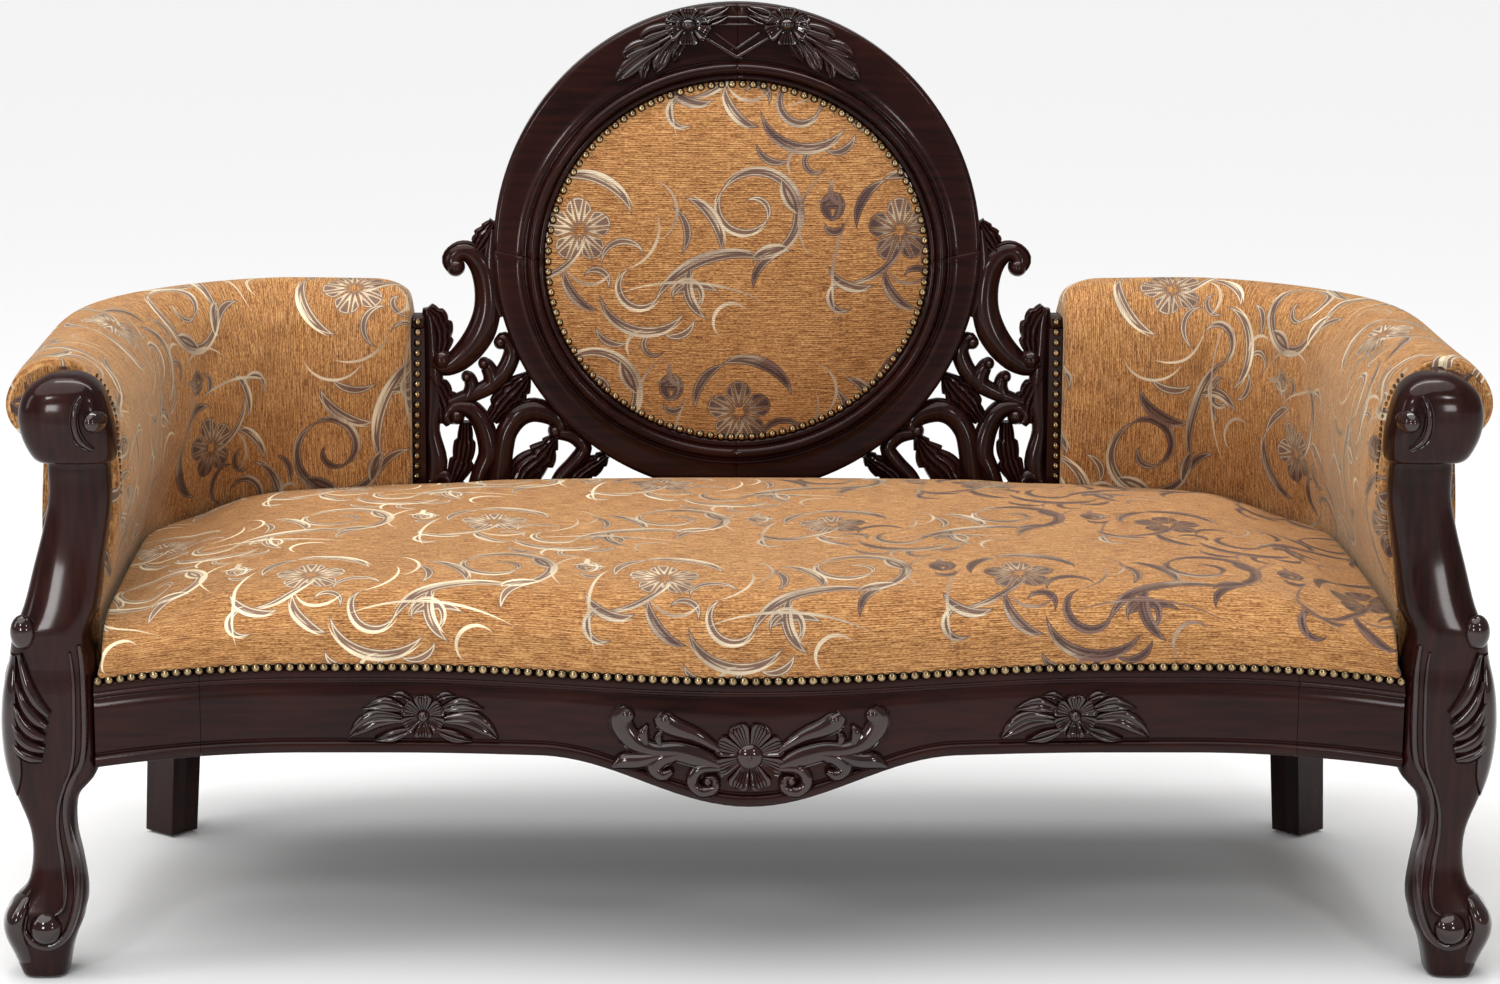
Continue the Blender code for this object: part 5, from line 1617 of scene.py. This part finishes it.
def dome(u, v, place, radius, height):
    """A round boss lying on the surface."""
    bm = bmesh.new()
    bmesh.ops.create_uvsphere(bm, u_segments=24, v_segments=12, radius=1.0)
    for vert in bm.verts:
        vert.co = place(u + radius * vert.co.x, v + radius * vert.co.y, height * vert.co.z)
    bmesh.ops.recalc_face_normals(bm, faces=bm.faces)
    return bm


print("points in a leaf's section:", len(closed_section(LEAF_FRONT, SUNK)))

# %% [markdown]
# The pierced brackets fill the gap between the stiles and the cameo. They would be cut with a
# fretsaw from one board and then carved, so their strokes run into each other. Places are given as
# a share of the way from stile to cameo, a height above the cross rail and a half width in
# millimetres, so the bracket would follow a cameo of another size.

# %% Drawing of the brackets
BRACKET_SCROLLS = [
    [(0.43, 281, 10), (0.40, 291, 12), (0.51, 301, 11), (0.68, 298, 12), (0.83, 281, 14),
     (0.865, 254, 14), (0.81, 225, 15), (0.67, 198, 16), (0.49, 176, 15), (0.32, 160, 13),
     (0.18, 152, 9), (0.07, 158, 5)],
    [(0.17, 80, 6), (0.15, 90, 8), (0.225, 101, 9), (0.33, 100, 10), (0.39, 87, 11), (0.39, 64, 12),
     (0.345, 40, 12), (0.30, 18, 11), (0.27, -6, 11)],
    [(0.385, -6, 12), (0.40, 18, 12), (0.44, 46, 12), (0.54, 70, 12), (0.69, 90, 13), (0.84, 97, 13),
     (0.95, 89, 11), (0.93, 76, 9), (0.84, 68, 6)],
    [(0.86, 68, 7), (0.95, 64, 9), (0.92, 48, 9), (0.80, 28, 9), (0.73, 10, 9), (0.70, -6, 9)],
]
BRACKET_STEMS = [
    [(0.03, -6, 11), (0.05, 30, 13), (0.03, 70, 10), (0.05, 100, 12), (0.06, 140, 12), (0.05, 175, 10),
     (0.04, 210, 9), (0.02, 228, 5)],
    [(0.19, 107, 6), (0.34, 114, 8), (0.535, 125, 9.5), (0.735, 142, 10), (0.90, 163, 10), (0.96, 178, 9),
     (0.905, 187, 9), (0.85, 183, 6)],
    [(0.57, 125, 9), (0.63, 140, 9.5), (0.62, 154, 8), (0.58, 159, 4)],
    [(0.34, 112, 7), (0.41, 127, 8), (0.41, 138, 7), (0.37, 142, 4)],
    [(0.98, 330, 6), (0.96, 290, 11), (0.96, 250, 11), (0.98, 218, 5)],
    [(0.90, 86, 8), (1.03, 82, 7)],
    [(0.02, 4, 8), (0.08, 12, 9), (0.12, 4, 7)],
]
BRACKET_LEAVES = [
    [(0.76, 302, 8), (0.87, 318, 14), (1.00, 338, 7)],
    [(0.02, 228, 7), (0.12, 214, 15), (0.17, 194, 16), (0.14, 170, 11)],
    [(0.04, 142, 7), (0.12, 122, 14), (0.155, 102, 15), (0.13, 80, 11)],
    [(0.28, 82, 6), (0.235, 56, 12), (0.19, 30, 14), (0.15, 6, 12), (0.14, -6, 10)],
    [(0.47, 84, 8), (0.63, 106, 16), (0.80, 123, 17), (1.01, 144, 4)],
    [(0.49, -6, 13), (0.53, 16, 19), (0.62, 36, 18), (0.74, 52, 11), (0.84, 64, 3)],
    [(0.77, -6, 11), (0.84, 14, 13), (0.93, 29, 11), (0.99, 39, 5)],
    [(0.90, 74, 6), (0.99, 68, 10), (1.04, 60, 5)],
]
BRACKET_BOSSES = [(0.165, 162, 14.5), (0.225, 89, 11), (0.44, 281, 12.5), (0.86, 184, 9),
                  (0.60, 157, 8), (0.39, 140, 7.5), (0.86, 70, 10)]
print("strokes of a bracket:", len(BRACKET_SCROLLS) + len(BRACKET_STEMS) + len(BRACKET_LEAVES))

# %% Pierced brackets
BRACKET_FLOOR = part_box("back_cross_rail")[1].z
BRACKET_EDGE_FLOOR = 0.045
BRACKET_FULLNESS = 1.18
BRACKET_BACK = -0.72
BRACKET_DEPTH = 0.0125
STEM_DEPTH = 0.85 * BRACKET_DEPTH
LEAF_DEPTH = 0.95 * BRACKET_DEPTH
BOSS_DEPTH = 1.35 * BRACKET_DEPTH
LEAF_LOBES = 4
LOBE_CUT = 0.30


def bracket_spot(share, height):
    """Where a place of the drawing lies, seen from the front."""
    z = BRACKET_FLOOR + height * MILLIMETRE
    level = max(z, RING_LOW.z + BRACKET_EDGE_FLOOR) - CAMEO_Z
    edge = math.sqrt(max(CAMEO_RADIUS ** 2 - level ** 2, 0))
    return STILE_LOW.x - share * (STILE_LOW.x - edge), z


def bracket_run(points, height):
    full = BRACKET_FULLNESS * MILLIMETRE
    return [(*bracket_spot(share, up), half * full, height) for share, up, half in points]


def lobed(points):
    """The same spine with its width rising and falling, like the lobes of an acanthus leaf."""
    run = smooth_run(points, 8)
    last = len(run) - 1
    leaf = []
    for i, (u, v, half, height) in enumerate(run):
        share = (i / last * LEAF_LOBES) % 1.0
        leaf.append((u, v, half * (1 - LOBE_CUT * share ** 2), height))
    return leaf


def bracket():
    parts = [stroke(bracket_run(p, BRACKET_DEPTH), reclined, BROAD_FRONT, BRACKET_BACK)
             for p in BRACKET_SCROLLS]
    parts += [stroke(bracket_run(p, STEM_DEPTH), reclined, ROUND_FRONT, BRACKET_BACK)
              for p in BRACKET_STEMS]
    parts += [stroke(lobed(bracket_run(p, LEAF_DEPTH)), reclined, LEAF_FRONT, BRACKET_BACK, 1)
              for p in BRACKET_LEAVES]
    for share, height, radius in BRACKET_BOSSES:
        spot = bracket_spot(share, height)
        parts.append(dome(*spot, reclined, radius * MILLIMETRE, BOSS_DEPTH))
    return gather(parts)


make_pair("carved_bracket_", bracket(), WOOD_UPRIGHT, 45, "fretwork_")
print("brackets carved")

# %% [markdown]
# A carved flower is a ring of cupped petals round a boss, and its sizes are in metres. Leaves are
# grooved strokes that start under the flower and end in a point or a curl. They are drawn in
# millimetres about the flower's middle, so that one drawing serves both sides.

# %% Flowers and leaves
PETAL_REACH = (0.25, 0.45, 0.64, 0.78, 0.88, 0.95, 1.0)
PETAL_WIDTH = (1.0, 1.0, 1.0, 0.98, 0.84, 0.60, 0.15)
PETAL_HEIGHT = (0.42, 0.54, 0.80, 1.0, 1.0, 0.88, 0.45)
BOSS_RISE = 1.25
BOSS_TIP = (0.32, 1.45)
LEAF_LEAST = 0.45
LEAF_FULL_MM = 12


def flower(u, v, place, radius, petals, height, boss):
    """Petals and boss as separate closed forms; sizes in metres."""
    parts = []
    for k in range(petals):
        angle = 2 * math.pi * (k + 0.5) / petals
        points = []
        for reach, wide, tall in zip(PETAL_REACH, PETAL_WIDTH, PETAL_HEIGHT):
            far = reach * radius
            half = far * math.tan(math.pi / petals) * wide
            points.append((u + far * math.cos(angle), v + far * math.sin(angle), half, height * tall))
        parts.append(stroke(points, place, PETAL_FRONT))
    parts.append(dome(u, v, place, boss, BOSS_RISE * height))
    parts.append(dome(u, v, place, BOSS_TIP[0] * boss, BOSS_TIP[1] * height))
    return parts


def leaves(u, v, place, drawing, fronts, height, flip=1):
    """Strokes of a drawing in millimetres about a middle; flip is -1 for its mirror image."""
    parts = []
    for points in drawing:
        run = []
        for across_mm, up_mm, half_mm in points:
            run.append((u + flip * across_mm * MILLIMETRE, v + up_mm * MILLIMETRE, half_mm * MILLIMETRE,
                        height * min(1.0, LEAF_LEAST + half_mm / LEAF_FULL_MM)))
        parts.append(stroke(run, place, fronts))
    return parts


print("flower and leaf helpers ready")

# %% [markdown]
# The rail carries a large flower between two curling acanthus branches, and a small flower with
# leaves on each side. The carver leaves them standing a few millimetres proud of the rail.

# %% Carving on the rail
RAIL_FLOWER_Z = 0.276
SIDE_FLOWER = (0.374, 0.316)
BRANCH = [
    [(34, 8, 5), (60, 24, 9), (84, 33, 12), (98, 41, 13), (105, 48, 8)],
    [(34, -10, 8), (57, -2, 13), (84, 5, 13), (110, 7, 10), (131, 15, 12), (145, 32, 14), (147, 46, 13),
     (140, 56, 7)],
    [(104, 0, 6), (124, -6, 10), (144, -8, 10), (157, -14, 3)],
    [(82, 2, 8), (101, -4, 11), (109, -15, 10), (100, -23, 8), (89, -18, 5)],
    [(34, -13, 6), (57, -15, 8), (66, -30, 8), (55, -42, 8), (40, -37, 7), (41, -26, 5), (50, -25, 3)],
    [(118, 12, 5), (122, 26, 8), (117, 36, 3)],
    [(102, 12, 4), (105, 22, 6), (100, 30, 2)],
]
BRANCH_BOSSES = [(97, 42, 9.5), (141, 47, 10.5), (48, -29, 6)]
SIDE_LEAVES = [
    [(18, 7, 3), (44, 14, 10), (70, 9, 1)],
    [(20, -4, 4), (52, -3, 12), (72, -13, 10), (86, -26, 1)],
    [(14, -16, 4), (36, -24, 8), (56, -29, 1)],
    [(12, 18, 3), (25, 25, 6), (38, 25, 1)],
]
RELIEF = 0.0088
CURL_RELIEF = 1.15 * RELIEF
SIDE_RELIEF = 0.8 * RELIEF
RAIL_FLOWER_SIZES = (0.041, 8, RELIEF, 0.0165)
SIDE_FLOWER_SIZES = (0.0255, 6, RELIEF, 0.0080)


def on_rail(u, v, lift):
    return Vector((u, rail_front(u) - lift, v))


def rail_carving():
    parts = flower(0, RAIL_FLOWER_Z, on_rail, *RAIL_FLOWER_SIZES)
    for flip in (-1, 1):
        parts += leaves(0, RAIL_FLOWER_Z, on_rail, BRANCH, BROAD_FRONT, RELIEF, flip)
        for across_mm, up_mm, radius in BRANCH_BOSSES:
            spot = (flip * across_mm * MILLIMETRE, RAIL_FLOWER_Z + up_mm * MILLIMETRE)
            parts.append(dome(*spot, on_rail, radius * MILLIMETRE, CURL_RELIEF))
        x, z = flip * SIDE_FLOWER[0], SIDE_FLOWER[1]
        parts += flower(x, z, on_rail, *SIDE_FLOWER_SIZES)
        for side in (-1, 1):
            parts += leaves(x, z, on_rail, SIDE_LEAVES, VEIN_FRONT, SIDE_RELIEF, side)
    make_piece("rail_carving", gather(parts), WOOD_CARVED, (), 50)


rail_carving()
print("rail carved")

# %% [markdown]
# Two flowers with trailing leaves crown the ring, either side of a chevron. They are laid on the
# leaning face of the ring, so the same drawing helpers are given another place function. A small peg
# shows above the cameo and another below it.

# %% Carving on the crest
CREST_FLOWER = (0.0630, 1.0455)
CREST_LEAVES = [
    [(20, -3, 6), (34, -7, 9), (48, -11, 9), (57, -16, 7), (61, -19, 2)],
    [(24, -13, 6), (46, -24, 9), (66, -31, 11), (79, -38, 8), (84, -42, 2)],
    [(36, -28, 6), (56, -41, 11), (73, -54, 13), (86, -65, 9), (91, -71, 2)],
    [(14, -17, 6), (27, -33, 10), (35, -47, 12), (40, -57, 7), (42, -61, 2)],
    [(5, -22, 5), (13, -34, 8), (18, -43, 5), (20, -46, 1)],
    [(50, -44, 5), (56, -58, 8), (57, -67, 5), (57, -70, 1)],
    [(-18, 9, 5), (-33, 13, 9), (-46, 19, 5), (-51, 22, 1)],
    [(-22, -1, 4), (-36, 4, 7), (-47, 9, 4), (-51, 11, 1)],
]
CREST_ABOVE = 0.70
CREST_BELOW = 0.92
CHEVRON = [[(-40, 1027, 2.6), (-1, 1003, 3.0)], [(-1, 1003, 3.0), (39, 1027, 2.6)],
           [(-28, 1034, 2.2), (-1, 1014, 2.6)], [(-1, 1014, 2.6), (28, 1034, 2.2)],
           [(-20, 1053.5, 2.2), (20, 1053.5, 2.2)], [(-24, 1044.5, 1.8), (24, 1044.5, 1.8)]]
CREST_RELIEF = 0.0085
CREST_LEAF_RELIEF = 0.9 * CREST_RELIEF
CHEVRON_RELIEF = 0.65 * CREST_RELIEF
CREST_FLOWER_SIZES = (0.0300, 6, CREST_RELIEF, 0.0112)
PEG_SIZES = (0.0030, 0.0108)
PEG_FROM_OVAL = 0.016


def on_ring(u, v, lift):
    return reclined(u, v, RING_FACE + lift)


def on_crest(u, v, lift):
    """The crest is low, so its flowers are wider than tall, most of all above their middle."""
    rise = v - CREST_FLOWER[1]
    return on_ring(u, CREST_FLOWER[1] + rise * (CREST_ABOVE if rise > 0 else CREST_BELOW), lift)


def crest_carving():
    parts = []
    for flip in (-1, 1):
        x, z = flip * CREST_FLOWER[0], CREST_FLOWER[1]
        parts += flower(x, z, on_crest, *CREST_FLOWER_SIZES)
        parts += leaves(x, z, on_ring, CREST_LEAVES, VEIN_FRONT, CREST_LEAF_RELIEF, flip)
    parts += leaves(0, 0, on_ring, CHEVRON, ROUND_FRONT, CHEVRON_RELIEF)
    for way in (1, -1):
        parts.append(dome(0, OVAL_Z + way * (OVAL_TALL + PEG_FROM_OVAL), on_ring, *PEG_SIZES))
    make_piece("crest_carving", gather(parts), WOOD_CARVED, (), 50)


crest_carving()
print("crest carved")

# %% [markdown]
# Each knee bears an oval boss above a folded leaf, the leg's inner edge is beaded down to the foot,
# the foot turns up in two scrolls, and a small curl marks the knob of the arm. The drawing measures
# inwards from the settee's outer limit, and every stroke is laid on the leg's rounded front.

# %% Drawing of the leg carving
KNEE_SHIELD = [[(24, 388, 4), (19, 360, 9), (17, 330, 11), (17, 300, 12), (18, 270, 12), (21, 244, 9),
                (21, 218, 1)]]
KNEE_FLUTES = [
    [(31, 390, 3), (39, 360, 7), (50, 336, 8), (64, 320, 5)],
    [(27, 358, 3), (37, 332, 7), (48, 316, 8), (61, 306, 5)],
    [(23, 334, 3), (33, 311, 7), (45, 298, 8), (59, 292, 5)],
    [(20, 312, 3), (30, 292, 7), (43, 282, 8), (58, 278, 5)],
    [(18, 290, 3), (28, 276, 6), (41, 269, 7), (55, 266, 4)],
]
LEG_BEADS = [
    [(101, 400, 3), (104, 360, 4), (104, 300, 4), (100, 265, 4), (88, 241, 4), (80, 218, 4), (78, 194, 4),
     (81, 170, 4.5), (87, 141, 5), (90, 110, 5), (86, 80, 5), (75, 54, 5), (57, 42, 5), (39, 47, 5),
     (28, 63, 4), (31, 80, 3)],
    [(90, 392, 1.5), (93, 355, 2.5), (92, 295, 2.5), (88, 258, 2.5), (79, 234, 2.5), (71, 208, 2.5),
     (69, 176, 2.5), (73, 141, 3), (76, 110, 3), (73, 88, 2.5), (64, 80, 1.5)],
]
FOOT_EAR = [(33, 99, 2, 4), (26, 93, 9, 9), (19, 81, 13, 13), (15.5, 67, 14, 13), (17, 51, 13, 9),
            (22, 35, 11, 4), (26, 20, 8, 0.3)]
FOOT_BOSS = (53, 64, 19)
CABOCHON = (37, 416)
KNOB_CURL = [[(113, 692, 3), (107, 680, 5), (105, 660, 6), (111, 641, 6), (125, 630, 3)]]
KNOB_BOSS = (127, 662, 13)
print("flutes of a knee:", len(KNEE_FLUTES))

# %% Carving on the legs
SHIELD_RELIEF = 0.0070
FLUTE_RELIEF = 0.0085
BEAD_RELIEF = 0.0060
CURL_LIFT = 0.0065
BOSS_LIFT = 0.0125
CABOCHON_HALF = (0.0148, 0.0135, 0.0208)


def leg_level(height):
    """The leg's outer x, width, front and back at a height."""
    for low, high in zip(LEVELS, LEVELS[1:]):
        if low[0] <= height <= high[0] and high[0] > low[0]:
            share = (height - low[0]) / (high[0] - low[0])
            return [a + (b - a) * share for a, b in zip(low, high)][1:]
    return (LEVELS[0] if height < LEVELS[0][0] else LEVELS[-1])[1:]


def on_leg(u, v, lift):
    """Lays a drawing on the right leg; u runs inwards from the outer limit."""
    x = HALF_WIDTH - u
    outer, width, front, back = leg_level(v)
    share = min(abs(x - outer + width / 2) / (width / 2), 1.0)
    power = leg_power(v)
    depth = (1 - share ** power) ** (1 / power)
    return Vector((x, (front + back) / 2 - depth * (back - front) / 2 - lift, v))


def cabochon(u, v):
    """An egg set upright on the leg."""
    bm = bmesh.new()
    bmesh.ops.create_uvsphere(bm, u_segments=24, v_segments=14, radius=1.0)
    middle = on_leg(u, v, 0.0)
    wide, deep, tall = CABOCHON_HALF
    for vert in bm.verts:
        x, z, y = vert.co
        vert.co = middle + Vector((-wide * x, -deep * y, tall * z))
    bmesh.ops.recalc_face_normals(bm, faces=bm.faces)
    return bm


def leg_carving():
    parts = leaves(0, 0, on_leg, KNEE_SHIELD, ROUND_FRONT, SHIELD_RELIEF)
    parts += leaves(0, 0, on_leg, KNEE_FLUTES, BROAD_FRONT, FLUTE_RELIEF)
    parts += leaves(0, 0, on_leg, LEG_BEADS, ROUND_FRONT, BEAD_RELIEF)
    ear = [[size * MILLIMETRE for size in spot] for spot in FOOT_EAR]
    parts.append(stroke(ear, on_leg, ROUND_FRONT))
    parts += leaves(0, 0, on_leg, KNOB_CURL, SCROLL_FRONT, CURL_LIFT)
    for u, v, radius in (FOOT_BOSS, KNOB_BOSS):
        parts.append(dome(u * MILLIMETRE, v * MILLIMETRE, on_leg, radius * MILLIMETRE, BOSS_LIFT))
    parts.append(cabochon(CABOCHON[0] * MILLIMETRE, CABOCHON[1] * MILLIMETRE))
    return gather(parts)


make_pair("leg_carving_", leg_carving(), WOOD_CARVED, 50)
print("legs carved")

# %% [markdown]
# The pieces that stay as they are in the frame only need their finish; the rear legs, the stiles and
# the back cross rail also get a small bevel so that their edges catch the light. Their faces are loose
# triangles, so a weld comes before the bevel.

# %% Finish the remaining solids
FINISH_OF = {
    "front_leg": WOOD_UPRIGHT, "rear_leg": WOOD_UPRIGHT, "back_stile": WOOD_UPRIGHT,
    "front_rail": WOOD_LEVEL, "rail_end": WOOD_LEVEL, "back_cross_rail": WOOD_LEVEL,
    "rear_rail": WOOD_LEVEL, "cameo_ring": WOOD_LEVEL, "fretwork": WOOD_UPRIGHT,
    "webbing": JUTE, "front_glide": NYLON, "rear_glide": NYLON,
    "front_leg_bolt": STEEL, "rear_leg_bolt": STEEL,
}
SOFTENED = ("rear_leg_left", "rear_leg_right", "back_stile_left", "back_stile_right",
            "back_cross_rail")
WELD_DISTANCE = 0.00005
EDGE_BEVEL = 0.0025
EDGE_SEGMENTS = 3
EDGE_ANGLE = math.radians(40)


def finish_for(name):
    """The longest matching start of the name decides; anything else is raw timber."""
    starts = [start for start in FINISH_OF if name.startswith(start)]
    return FINISH_OF[max(starts, key=len)] if starts else TIMBER


for name in frame["nodes"]:
    solid = bpy.data.objects[name]
    solid.data.materials.clear()
    solid.data.materials.append(finish_for(name))
    if name in SOFTENED:
        weld = solid.modifiers.new("weld", "WELD")
        weld.merge_threshold = WELD_DISTANCE
        bevel = solid.modifiers.new("bevel", "BEVEL")
        bevel.limit_method = "ANGLE"
        bevel.angle_limit = EDGE_ANGLE
        bevel.width = EDGE_BEVEL
        bevel.segments = EDGE_SEGMENTS
print("solids finished:", len(frame["nodes"]))
